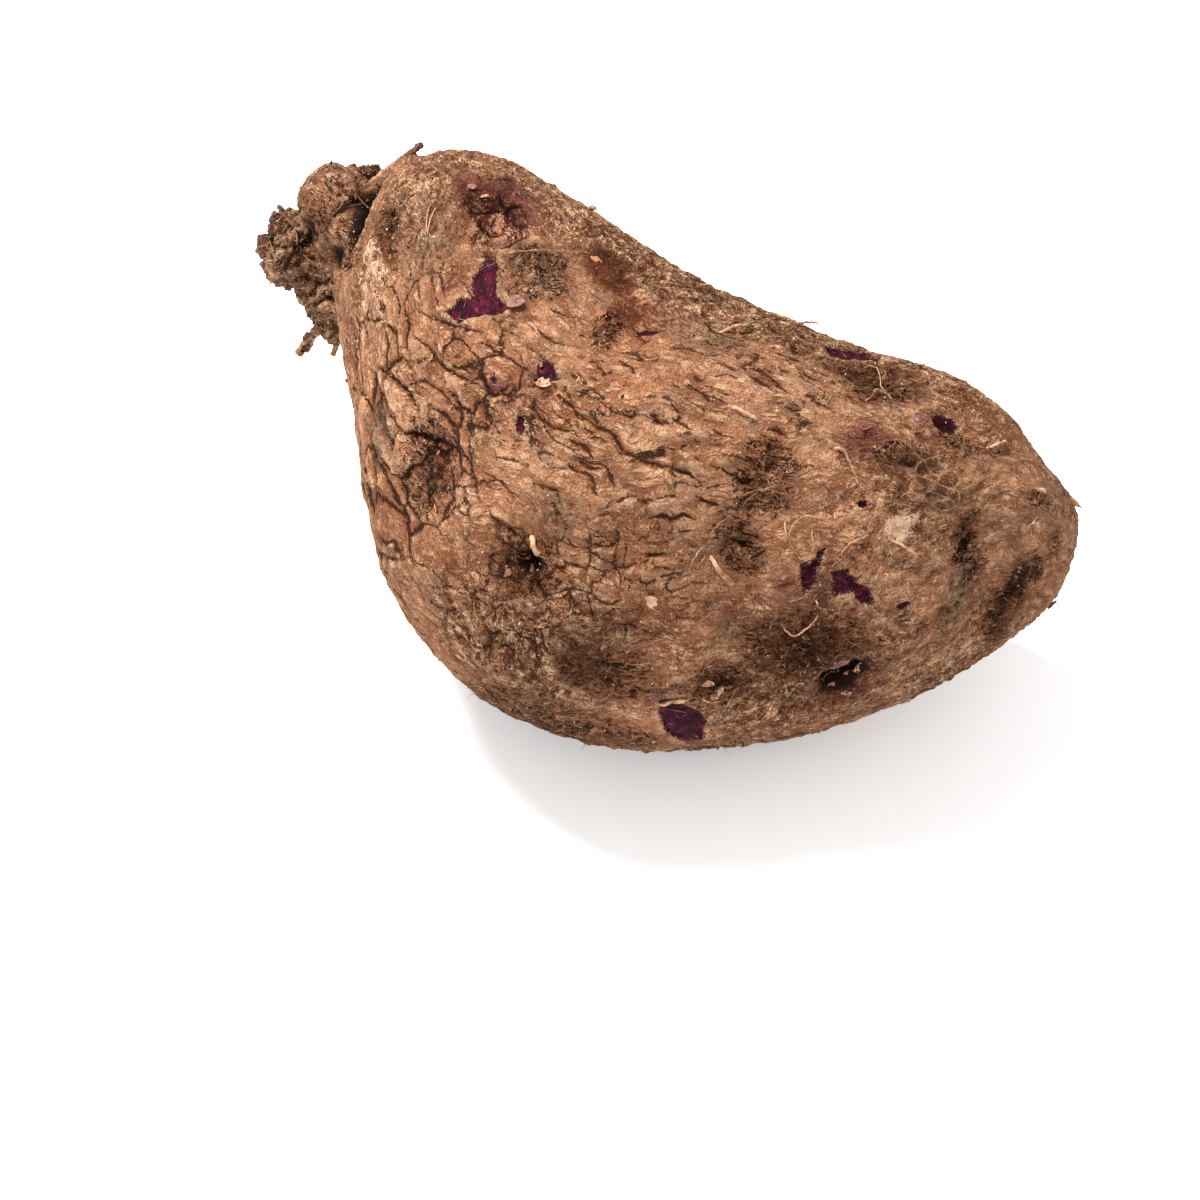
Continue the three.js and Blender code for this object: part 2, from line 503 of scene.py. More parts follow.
class Skin:
    """The smooth tuber's surface, measured along it and round it, in millimetres and radians."""

    STATIONS = 40  # how many slices give the middle line
    BLUR = 0.5  # how large a spot gives a place on the finished skin, in square millimetres

    def __init__(self, mesh: Mesh) -> None:
        """Measures every vertex.

        Args:
            mesh: the smooth tuber's mesh.
        """
        self.points = self._read(mesh, "co") / MM
        self.normals = self._read(mesh, "normal")
        low, high = self.points[:, 0].min(), self.points[:, 0].max()
        self.length = high - low
        self.along = (self.points[:, 0] - low) / self.length
        middle = self._middle_line()
        across = self.points[:, 1] - np.interp(self.along, middle[0], middle[1])
        up = self.points[:, 2] - np.interp(self.along, middle[0], middle[2])
        self.angle = np.arctan2(up, across)
        self.radius = np.hypot(across, up)
        self.run = self._runs()

    @staticmethod
    def _read(mesh: Mesh, name: str) -> np.ndarray:
        """Reads one vector of every vertex.

        Args:
            mesh: the mesh.
            name: the vector's name.

        Returns:
            The vectors, as rows.
        """
        flat = np.empty(len(mesh.vertices) * 3)
        mesh.vertices.foreach_get(name, flat)
        return flat.reshape(-1, 3)

    def _middle_line(self) -> np.ndarray:
        """Finds the middle of each slice.

        Returns:
            Rows of along, y and z.
        """
        edges = np.linspace(0, 1, self.STATIONS + 1)
        rows = []
        for start, end in zip(edges[:-1], edges[1:]):
            part = self.points[(self.along >= start) & (self.along <= end)]
            rows.append(((start + end) / 2, *((part.min(0) + part.max(0)) / 2)[1:]))
        line = np.array(rows).T
        for axis in (1, 2):
            line[axis] = np.convolve(np.pad(line[axis], 1, mode="edge"), (0.25, 0.5, 0.25), mode="valid")
        return line

    def _runs(self) -> np.ndarray:
        """Measures along the skin, over its swells.

        Returns:
            How far each vertex is from the crown's end.
        """
        edges = np.linspace(0, 1, self.STATIONS * 3 + 1)
        middles = (edges[:-1] + edges[1:]) / 2
        slot = np.clip(np.digitize(self.along, edges) - 1, 0, len(middles) - 1)
        sums = np.bincount(slot, self.radius, len(middles))
        mean = sums / np.maximum(np.bincount(slot, minlength=len(middles)), 1)
        steps = np.hypot(np.diff(middles) * self.length, np.diff(mean))
        return np.interp(self.along, middles, np.concatenate([[0], np.cumsum(steps)]))

    def settle(self, mesh: Mesh) -> None:
        """Takes up the places that the same vertices have once the relief is raised."""
        self.points = self._read(mesh, "co") / MM
        self.length = np.ptp(self.points[:, 0])

    def nearest(self, place: Place) -> int:
        """The number of the vertex that is closest to a place."""
        return int(self._gaps(place).argmin())

    def above(self, place: Place, lift: float = 0.0) -> np.ndarray:
        """A place on the skin, or off it by a lift, in millimetres."""
        weights = np.exp(-self._gaps(place) / self.BLUR)
        return (weights @ self.points + lift * (weights @ self.normals)) / weights.sum()

    def axes(self, place: Place) -> np.ndarray:
        """Finds how the skin lies at a place.

        Args:
            place: the place.

        Returns:
            The lengthwise, the crosswise and the outward direction there, as rows.
        """
        outward = self.normals[self.nearest(place)]
        lengthwise = np.array([1.0, 0.0, 0.0]) - outward[0] * outward
        lengthwise /= np.linalg.norm(lengthwise)
        return np.array([lengthwise, np.cross(outward, lengthwise), outward])

    def traced(self, home: Place, line: Sequence[Place]) -> np.ndarray:
        """Where some places are, lengthwise and crosswise of one of them, as rows in millimetres."""
        return np.array([self._apart(self._spot(home), self._spot(place)) for place in line])

    def offset(self, place: Place, turn: float = 0.0) -> tuple[np.ndarray, np.ndarray]:
        """Every vertex's distance from a place, lengthwise and crosswise, in millimetres.

        Args:
            place: where the distances are zero.
            turn: degrees by which lengthwise is turned away from the yam's own length.

        Returns:
            The lengthwise and the crosswise distances. Far sides are put out of reach.
        """
        lengthwise, crosswise = self._apart(self._spot(place), (self.run, self.angle, self.radius))
        cos, sin = math.cos(math.radians(turn)), math.sin(math.radians(turn))
        straight = np.linalg.norm(self.points - self.points[self.nearest(place)], axis=1)
        flat = np.maximum(np.hypot(lengthwise, crosswise), 1e-6)
        grow = np.maximum((straight - 1.0) / flat, 1.0)
        return (lengthwise * cos + crosswise * sin) * grow, (crosswise * cos - lengthwise * sin) * grow

    def _gaps(self, place: Place) -> np.ndarray:
        """How far every vertex is from a place, in square millimetres."""
        turn = np.angle(np.exp(1j * (self.angle - math.radians(place.angle))))
        return ((self.along - place.along) * self.length) ** 2 + (turn * self.radius) ** 2

    def _spot(self, place: Place) -> tuple[float, float, float]:
        """Measures a place as the vertices are measured.

        Args:
            place: the place.

        Returns:
            How far along the skin it is, its angle in radians and its distance from the middle line.
        """
        near = self.nearest(place)
        run = self.run[near] + (place.along - self.along[near]) * self.length
        return run, math.radians(place.angle), self.radius[near]

    def _apart(self, start: Sequence[Any], end: Sequence[Any]) -> tuple[Any, Any]:
        """The lengthwise and the crosswise way from one spot to another, or to many."""
        angle = np.angle(np.exp(1j * (end[1] - start[1])))
        return end[0] - start[0], angle * (start[2] + end[2]) / 2


def off_line(
    x: np.ndarray, y: np.ndarray, start: np.ndarray, end: np.ndarray
) -> tuple[np.ndarray, np.ndarray]:
    """Measures points against a straight line.

    Args:
        x: how far along the points are.
        y: how far across they are.
        start: where the line starts.
        end: where it ends.

    Returns:
        How much of the line lies before the place closest to each point, as a share, and how far away it is.
    """
    way_x, way_y = end - start
    share = np.clip(((x - start[0]) * way_x + (y - start[1]) * way_y) / (way_x**2 + way_y**2), 0, 1)
    return share, np.hypot(x - start[0] - share * way_x, y - start[1] - share * way_y)


@dataclass(frozen=True)
class Spot:
    """One mark on the skin, an ellipse that lies along the surface. Its sizes are in millimetres."""

    mark: Mark
    place: Place
    length: float  # its half-length along the yam
    width: float  # its half-width round the yam
    strength: float = 1.0  # how strong it is in its middle
    turn: float = 0.0  # degrees that its length is turned from the yam's length

    def spread(self, skin: Skin) -> np.ndarray:
        """Measures the mark over the skin.

        Args:
            skin: the skin that it is on.

        Returns:
            How strong it is at every vertex.
        """
        lengthwise, crosswise = skin.offset(self.place, self.turn)
        gap = np.hypot(lengthwise / self.length, crosswise / self.width)
        if self.mark is Mark.PEEL:
            return self.strength * np.clip(1.5 - gap, 0, 1)
        return self.strength * np.exp(-(gap**2.4))


@dataclass(frozen=True)
class Tear:
    """One mark on the skin with corners, such as a torn patch."""

    mark: Mark
    corners: tuple[Place, ...]
    soft: float = 1.6  # the width of its edge, in millimetres

    def spread(self, skin: Skin) -> np.ndarray:
        """Measures the mark over the skin.

        Args:
            skin: the skin that it is on.

        Returns:
            How strong it is at every vertex: a half at its outline.
        """
        x, y = skin.offset(self.corners[0])
        outline = skin.traced(self.corners[0], self.corners)
        away = np.full(len(x), np.inf)
        inside = np.zeros(len(x), dtype=bool)
        for start, end in zip(outline, np.roll(outline, -1, axis=0)):
            away = np.minimum(away, off_line(x, y, start, end)[1])
            if start[1] != end[1]:
                slope = (end[0] - start[0]) / (end[1] - start[1])
                inside ^= ((start[1] > y) != (end[1] > y)) & (x < start[0] + (y - start[1]) * slope)
        return np.clip(0.5 + np.where(inside, away, -away) / self.soft, 0, 1)


@dataclass(frozen=True)
class Split:
    """One crack of its own, along a line of places. Its sizes are in millimetres."""

    width: float  # half its width where it gapes most
    line: tuple[Place, ...]
    reach: float = 2.6  # how far from it the skin knows of it

    def gape(self, skin: Skin) -> tuple[np.ndarray, np.ndarray]:
        """Measures the skin round the crack.

        Args:
            skin: the skin that it is in.

        Returns:
            Every vertex's distance from the crack, below 0 on one side, and the crack's half-width there.
        """
        home = self.line[len(self.line) // 2]
        x, y = skin.offset(home)
        traced = skin.traced(home, self.line)
        steps = np.hypot(*np.diff(traced, axis=0).T)
        gap = np.full(len(x), FAR)
        passed = np.zeros(len(x))
        for number, (start, end) in enumerate(zip(traced[:-1], traced[1:])):
            share, away = off_line(x, y, start, end)
            way_x, way_y = end - start
            side = np.where(way_x * (y - start[1]) > way_y * (x - start[0]), 1, -1)
            nearer = away < np.abs(gap)
            gap = np.where(nearer, side * away, gap)
            passed = np.where(nearer, (steps[:number].sum() + share * steps[number]) / steps.sum(), passed)
        taper = 1 - np.abs(2 * passed - 1) ** 3
        return gap, self.width * taper * (1 - smoothstep(self.reach / 2, self.reach, np.abs(gap)))


def places(*pairs: tuple[float, float]) -> tuple[Place, ...]:
    """Several places on the skin, from how far along and at what angle each one is."""
    return tuple(Place(along, angle) for along, angle in pairs)


def spots(mark: Mark, *rows: tuple[float, ...]) -> tuple[Spot, ...]:
    """Several spots of one mark: along, angle, length and width, and strength and turn if need be."""
    return tuple(Spot(mark, Place(row[0], row[1]), *row[2:]) for row in rows)


def splits(*rows: tuple[Any, ...]) -> tuple[Split, ...]:
    """Several cracks: half-width, then the along and angle of each place that it runs through."""
    return tuple(Split(row[0], places(*row[1:])) for row in rows)


SPLITS = splits(
    (0.4, (0.328, 121), (0.361, 118), (0.406, 114), (0.437, 112), (0.446, 113)),
    (0.45, (0.437, 115), (0.451, 114), (0.474, 114), (0.488, 114)),
    (0.5, (0.336, 126), (0.376, 124), (0.396, 125), (0.430, 124), (0.465, 123), (0.483, 123)),
    (0.65, (0.296, 146), (0.334, 140), (0.367, 137), (0.390, 138), (0.401, 140)),
    (0.4, (0.362, 137), (0.387, 131), (0.419, 130), (0.451, 131), (0.474, 130)),
    (0.6, (0.374, 148), (0.391, 144), (0.424, 141), (0.447, 139), (0.479, 139)),
    (0.4, (0.433, 148), (0.424, 151), (0.438, 153), (0.446, 155)),
    (0.7, (0.375, 158), (0.393, 159), (0.414, 160), (0.431, 163), (0.442, 166)),
    (0.45, (0.326, 147), (0.344, 147), (0.353, 149)),
    (0.5, (0.422, 132), (0.442, 135), (0.466, 138), (0.488, 139), (0.504, 143), (0.520, 145)),
    (0.35, (0.525, 144), (0.534, 146), (0.555, 147), (0.571, 148)),
    (0.35, (0.552, 142), (0.548, 139), (0.529, 138), (0.501, 138)),
    (0.45, (0.551, 115), (0.571, 116), (0.583, 117)),
    (0.5, (0.534, 121), (0.561, 122), (0.584, 121), (0.594, 121)),
    (0.35, (0.557, 135), (0.589, 134), (0.603, 138)),
    (0.3, (0.483, 97), (0.506, 96), (0.520, 94)),
    (0.4, (0.488, 104), (0.511, 104), (0.534, 103)),
    (0.5, (0.557, 115), (0.580, 117), (0.602, 118), (0.621, 118), (0.637, 121), (0.655, 122),
     (0.675, 122), (0.699, 122), (0.713, 124), (0.724, 122)),
    (0.4, (0.653, 100), (0.672, 101), (0.684, 103)),
    (0.55, (0.644, 110), (0.652, 112), (0.664, 112)),
    (0.4, (0.660, 110), (0.675, 111), (0.684, 112)),
    (0.4, (0.662, 90), (0.676, 90), (0.687, 91)),
    (0.5, (0.684, 89), (0.700, 88), (0.718, 90), (0.732, 93), (0.742, 94)),
    (0.5, (0.737, 98), (0.749, 98), (0.757, 98)),
    (0.4, (0.735, 106), (0.745, 105), (0.756, 107)),
    (0.35, (0.702, 119), (0.717, 119), (0.729, 120), (0.739, 121), (0.752, 117)),
    (0.4, (0.705, 127), (0.719, 128), (0.728, 128)),
    (0.45, (0.677, 135), (0.689, 133), (0.698, 134), (0.706, 132), (0.719, 133)),
    (0.6, (0.580, 123), (0.603, 123), (0.616, 125)),
    (0.5, (0.598, 126), (0.615, 127), (0.628, 126)),
    (0.3, (0.742, 126), (0.750, 125), (0.761, 125)),
    (0.4, (0.584, 100), (0.603, 101), (0.612, 103)),
    (0.45, (0.580, 110), (0.589, 111), (0.601, 112)),
    (0.35, (0.626, 143), (0.643, 143), (0.655, 143), (0.661, 141), (0.657, 138), (0.649, 139)),
    (0.35, (0.682, 143), (0.694, 143), (0.703, 142)),
    (0.5, (0.327, 88), (0.350, 89), (0.364, 89), (0.382, 85)),
    (0.6, (0.376, 82), (0.386, 80), (0.398, 79)),
    (0.4, (0.389, 91), (0.396, 85), (0.402, 81)),
    (0.4, (0.299, 76), (0.323, 69), (0.341, 65), (0.364, 58)),
    (0.6, (0.374, 96), (0.382, 94), (0.394, 94)),
)

CROWN = (
    # crevices sunk into the crown, painted dark as shadow
    *spots(
        Mark.HOLLOW,
        (0.138, 98, 2.6, 3.6, 4.8), (0.147, 110, 2.8, 3.8, 5.4), (0.153, 122, 3.2, 3.8, 5.4),
        (0.160, 134, 2.8, 3.6, 4.8), (0.130, 148, 3.4, 2.6, 2.6), (0.075, 135, 2.4, 3.6, 1.6),
        (0.150, 172, 2, 3, 1.2), (0.030, 139, 2, 3.2, 3),
    ),
    *spots(
        Mark.SWELL,
        (0.093, 103, 6, 6, 2.6), (0.108, 117, 5.4, 6.5, 3.4), (0.090, 119, 2.2, 3.2, 1.8),
        (0.106, 110, 2.2, 3, 2.2), (0.118, 102, 2.2, 3, 2.2), (0.045, 165, 4, 4, 1.2),
    ),
    *spots(Mark.CROWN, (0.100, 112, 8, 9.5, 0.85), (0.042, 170, 3.4, 3.4, 0.9)),
    *spots(Mark.STAIN, (0.028, 132, 4, 6, 0.9)),
    *spots(Mark.PALE, (0.042, 172, 2.6, 2.4, 0.7)),
    *spots(
        Mark.SOIL,
        (0.090, 150, 7, 6, 0.15), (0.130, 165, 6, 8, 0.1), (0.100, 112, 8, 9.5, 0.3),
        (0.148, 120, 3.6, 9, 1.2), (0.110, 62, 6, 6, 0.9), (0.100, 300, 8, 14, 0.8),
    ),
)

BARK_REGIONS = (
    *spots(
        Mark.PLATES,
        (0.34, 155, 30, 30, 1.1), (0.43, 128, 20, 16), (0.34, 215, 26, 34), (0.40, 325, 30, 26, 0.9),
        (0.36, 84, 8, 7, 0.8),
    ),
    *spots(Mark.FISSURES, (0.62, 122, 36, 20), (0.70, 92, 24, 16), (0.52, 285, 40, 34), (0.70, 10, 30, 30)),
    *spots(
        Mark.CRACKLE,
        (0.64, 152, 24, 14), (0.56, 168, 18, 16), (0.72, 240, 34, 26), (0.84, 330, 22, 24, 0.7),
    ),
    *spots(
        Mark.FUZZ,
        (0.80, 75, 14, 14), (0.88, 110, 26, 40, 0.8), (0.76, 178, 20, 14, 0.8), (0.853, 101, 6, 5, 1.8),
    ),
    *spots(Mark.NET, (0.879, 103, 7.5, 6)),
)

BOOT = places(
    (0.382, 93), (0.401, 95), (0.410, 99), (0.424, 103), (0.437, 104), (0.451, 103), (0.456, 104),
    (0.451, 107), (0.416, 111), (0.396, 114), (0.378, 114), (0.380, 110), (0.398, 106), (0.381, 102),
)
TRIANGLE = places(
    (0.515, 109), (0.529, 109), (0.543, 112), (0.534, 114), (0.524, 115), (0.525, 117), (0.520, 114),
)
STREAK = places((0.825, 135), (0.826, 140), (0.828, 147), (0.821, 148), (0.811, 141), (0.818, 140))
PAW = places(
    (0.841, 142), (0.851, 141), (0.863, 145), (0.878, 147), (0.881, 152), (0.874, 152), (0.860, 148),
    (0.846, 149),
)
UNDERSIDE = places(
    (0.719, 184), (0.735, 187), (0.752, 190), (0.762, 195), (0.754, 204), (0.738, 206), (0.724, 198),
    (0.718, 190),
)
WINE_STAIN = places(
    (0.272, 82), (0.304, 75), (0.332, 69), (0.373, 71), (0.391, 77), (0.387, 85), (0.391, 92), (0.361, 93),
    (0.347, 86), (0.309, 88),
)
RUSSET_STAIN = places(
    (0.470, 78), (0.469, 69), (0.502, 68), (0.538, 76), (0.543, 83), (0.515, 84), (0.497, 82),
)

BARE_PATCHES = (
    Tear(Mark.PEEL, BOOT),
    Tear(Mark.PEEL, TRIANGLE, soft=1.4),
    Tear(Mark.PEEL, STREAK, soft=3.6),
    Tear(Mark.PEEL, PAW, soft=3.6),
    Tear(Mark.PEEL, UNDERSIDE),
    *spots(
        Mark.PEEL,
        (0.529, 125, 1.8, 0.8, 1, 69), (0.479, 120, 1.4, 0.9, 0.8, 40), (0.589, 88, 2.4, 0.9, 1, -34),
        (0.745, 62, 6.3, 2, 1, -47), (0.865, 80, 2.8, 1.6, 1, 8), (0.860, 190, 2.8, 3.4, 0.9, 35),
        (0.905, 154, 1, 0.9), (0.840, 120, 0.8, 0.8), (0.45, 250, 6, 2.6, 1, 25),
        (0.62, 305, 7, 2.4, 1, -30), (0.58, 310, 3, 4), (0.80, 275, 4, 2, 1, 60),
    ),
)

STAINS = (
    Tear(Mark.STAIN, WINE_STAIN, soft=6.0),
    Tear(Mark.RUSSET, RUSSET_STAIN, soft=4.0),
    *spots(
        Mark.STAIN,
        (0.365, 105, 4, 4, 0.6), (0.486, 121, 4, 2, 0.45), (0.811, 99, 4.6, 5, 0.8, -36),
        (0.822, 74, 3, 3.3, 0.7, -18), (0.612, 97, 2.2, 2.5, 0.5), (0.52, 117, 6, 4.5, 0.4),
        (0.825, 146, 7, 5, 0.65), (0.86, 191, 8, 7, 0.6), (0.862, 82, 4.6, 3.4, 0.7),
        (0.62, 300, 12, 6, 0.7), (0.30, 20, 10, 7, 0.65),
    ),
    *spots(
        Mark.RUSSET,
        (0.561, 86, 7.5, 4, 1, -10), (0.345, 84, 9, 8, 0.8), (0.86, 340, 10, 8), (0.50, 240, 12, 8, 0.8),
    ),
)

# caked soil, and hollows that are painted dark as shadow
EARTH_AND_HOLLOWS = (
    *spots(
        Mark.SOIL,
        (0.578, 153, 6.4, 5.6, 0.8, -20), (0.553, 94, 2.6, 4.6, 1, -15), (0.428, 147, 8, 7, 0.8, 58),
        (0.752, 138, 5.4, 2.8, 0.9, 49), (0.752, 122, 5.4, 4.4, 0.62, 49), (0.750, 113, 4.4, 3, 0.75, 25),
        (0.787, 73, 6.6, 6.6, 0.8, -44), (0.918, 116, 2.2, 2.6, 1), (0.921, 128, 2.2, 3.4, 1.1),
        (0.931, 144, 2.6, 2.8, 1.1), (0.976, 156, 2.4, 3.4, 1), (0.966, 180, 2.4, 5.4, 1.2),
        (0.957, 210, 2.4, 4.6, 1.1), (0.852, 101, 4.4, 3.4, 0.9), (0.885, 84, 4, 1.8, 0.95, 10),
        (0.965, 99, 3, 3, 0.4), (0.760, 180, 5, 5.5, 0.95, 10), (0.675, 177, 8, 6, 0.6, 10),
        (0.835, 166, 9, 7, 0.9), (0.989, 122, 1.6, 1.6, 0.9), (0.220, 112, 4.4, 3, 0.95),
        (0.446, 90, 8, 7.6, 0.5, -40), (0.246, 118, 3, 2.4, 0.7), (0.60, 205, 20, 10, 0.7),
        (0.36, 268, 12, 14, 0.75), (0.66, 265, 16, 12, 0.72), (0.90, 300, 8, 5, 0.85, 30),
        (0.72, 345, 6, 5, 0.85), (0.30, 330, 7, 5, 0.8, 30),
    ),
    *spots(
        Mark.HOLLOW,
        (0.580, 153, 2.4, 2, 3), (0.432, 147, 6.5, 6, 1.2, 58), (0.795, 71, 2.6, 1.1, 1.2, -30),
        (0.860, 189, 3.6, 4, 4, 35), (0.921, 129, 1.4, 4.4, 0.95), (0.969, 168, 1.4, 5.4, 1),
        (0.961, 200, 1.5, 5.4, 1), (0.942, 187, 3.4, 4.6, 0.5), (0.869, 81, 2.6, 1.1, 1.6, 10),
        (0.215, 109, 2.2, 1.5, 1.7), (0.230, 113, 1.6, 1.2, 1.2), (0.72, 345, 2.4, 2, 2.4),
        (0.30, 330, 3, 1.6, 1.6, 30),
    ),
    *spots(Mark.SWELL, (0.922, 170, 2.4, 8, 1), (0.737, 167, 2.6, 8, 1.3), (0.790, 150, 2.4, 6, 0.7)),
)

# partly weathering, partly painted shade: darker on the lower sides and underside
AGED_AND_SHADED_SPOTS = spots(
    Mark.AGED,
    (0.24, 92, 16, 30, 0.65), (0.22, 140, 10, 20, 0.4), (0.48, 62, 50, 14, 0.8), (0.78, 60, 30, 14, 0.7),
    (0.60, 176, 22, 18, 0.8), (0.84, 182, 22, 18, 0.9), (0.60, 64, 40, 12, 1), (0.88, 116, 10, 14, 0.5),
    (0.60, 240, 60, 26, 0.8), (0.30, 240, 30, 26, 0.6), (0.60, 330, 40, 22, 0.6), (0.92, 260, 16, 30, 0.7),
)

DUST = (
    *spots(
        Mark.DUST,
        (0.446, 90, 8.5, 8.2, 0.9, -40), (0.300, 105, 10, 8, 0.75, -25), (0.267, 95, 4.4, 3.2, 0.7, -31),
        (0.340, 155, 8, 5, 0.75, -41), (0.640, 82, 8, 5, 0.7), (0.600, 140, 7, 5, 0.6),
        (0.665, 168, 8, 6, 0.6), (0.923, 166, 3.2, 9, 0.95), (0.772, 160, 3.4, 3, 0.8),
        (0.40, 300, 16, 10, 0.7), (0.75, 300, 14, 9, 0.7), (0.60, 30, 12, 9, 0.7),
    ),
    *spots(
        Mark.PALE,
        (0.878, 125, 3.1, 2.9), (0.68, 325, 3.4, 2.6), (0.23, 132, 14, 16, 0.3), (0.27, 100, 16, 14, 0.26),
    ),
)

MARKS = CROWN + BARK_REGIONS + BARE_PATCHES + STAINS + EARTH_AND_HOLLOWS + AGED_AND_SHADED_SPOTS + DUST


@dataclass
class SkinMap:
    """Where the skin is plated, cracked, peeled, stained or dirty."""

    crown_end: float = 0.125  # the share of the yam's length that the crown takes up
    wrap: float = 22.0  # how far from the middle line the bark's grain is widest, in millimetres
    marks: tuple[Union[Spot, Tear], ...] = MARKS
    splits: tuple[Split, ...] = SPLITS  # its larger cracks

    def write(self, mesh: Mesh) -> Skin:
        """Measures the skin and writes every field onto the mesh.

        Args:
            mesh: the smooth tuber's mesh.

        Returns:
            The measured skin.
        """
        skin = Skin(mesh)
        evenness = 0.45 * smoothstep(5, self.wrap, skin.radius)
        grain_radius = (1 - evenness) * skin.radius + evenness * self.wrap
        flow = (skin.run, grain_radius * np.cos(skin.angle), grain_radius * np.sin(skin.angle))
        self._store(mesh, "flow", "FLOAT_VECTOR", np.stack(flow, axis=1))
        for kind in Mark:
            spread = np.zeros(len(skin.along))
            for mark in self.marks:
                if mark.mark is kind:
                    spread = np.maximum(spread, mark.spread(skin))
            if kind is Mark.CROWN:
                low, high = self.crown_end - 0.025, self.crown_end + 0.03
                spread = (1 - spread) * (1 - smoothstep(low, high, skin.along))
            self._store(mesh, kind.value, "FLOAT", spread)
        self._write_splits(mesh, skin)
        return skin

    def _write_splits(self, mesh: Mesh, skin: Skin) -> None:
        """Writes how far each vertex is from the nearest larger crack and how wide that crack is.

        Args:
            mesh: the mesh to write on.
            skin: its measured surface.
        """
        gap = np.full(len(skin.along), FAR)
        gape = np.zeros(len(skin.along))
        for split in self.splits:
            own_gap, own_gape = split.gape(skin)
            nearer = np.abs(own_gap) < np.abs(gap)
            gap = np.where(nearer, own_gap, gap)
            gape = np.where(nearer, own_gape, gape)
        self._store(mesh, "split", "FLOAT", gap)
        self._store(mesh, "gape", "FLOAT", gape)

    def _store(self, mesh: Mesh, name: str, kind: str, values: np.ndarray) -> None:
        """Writes a field onto a mesh.

        Args:
            mesh: the mesh.
            name: the field's name.
            kind: its type of data.
            values: a value or a vector for each vertex.
        """
        stored = mesh.attributes.new(name, kind, "POINT")
        key = "vector" if kind == "FLOAT_VECTOR" else "value"
        stored.data.foreach_set(key, values.astype(np.float32).ravel())


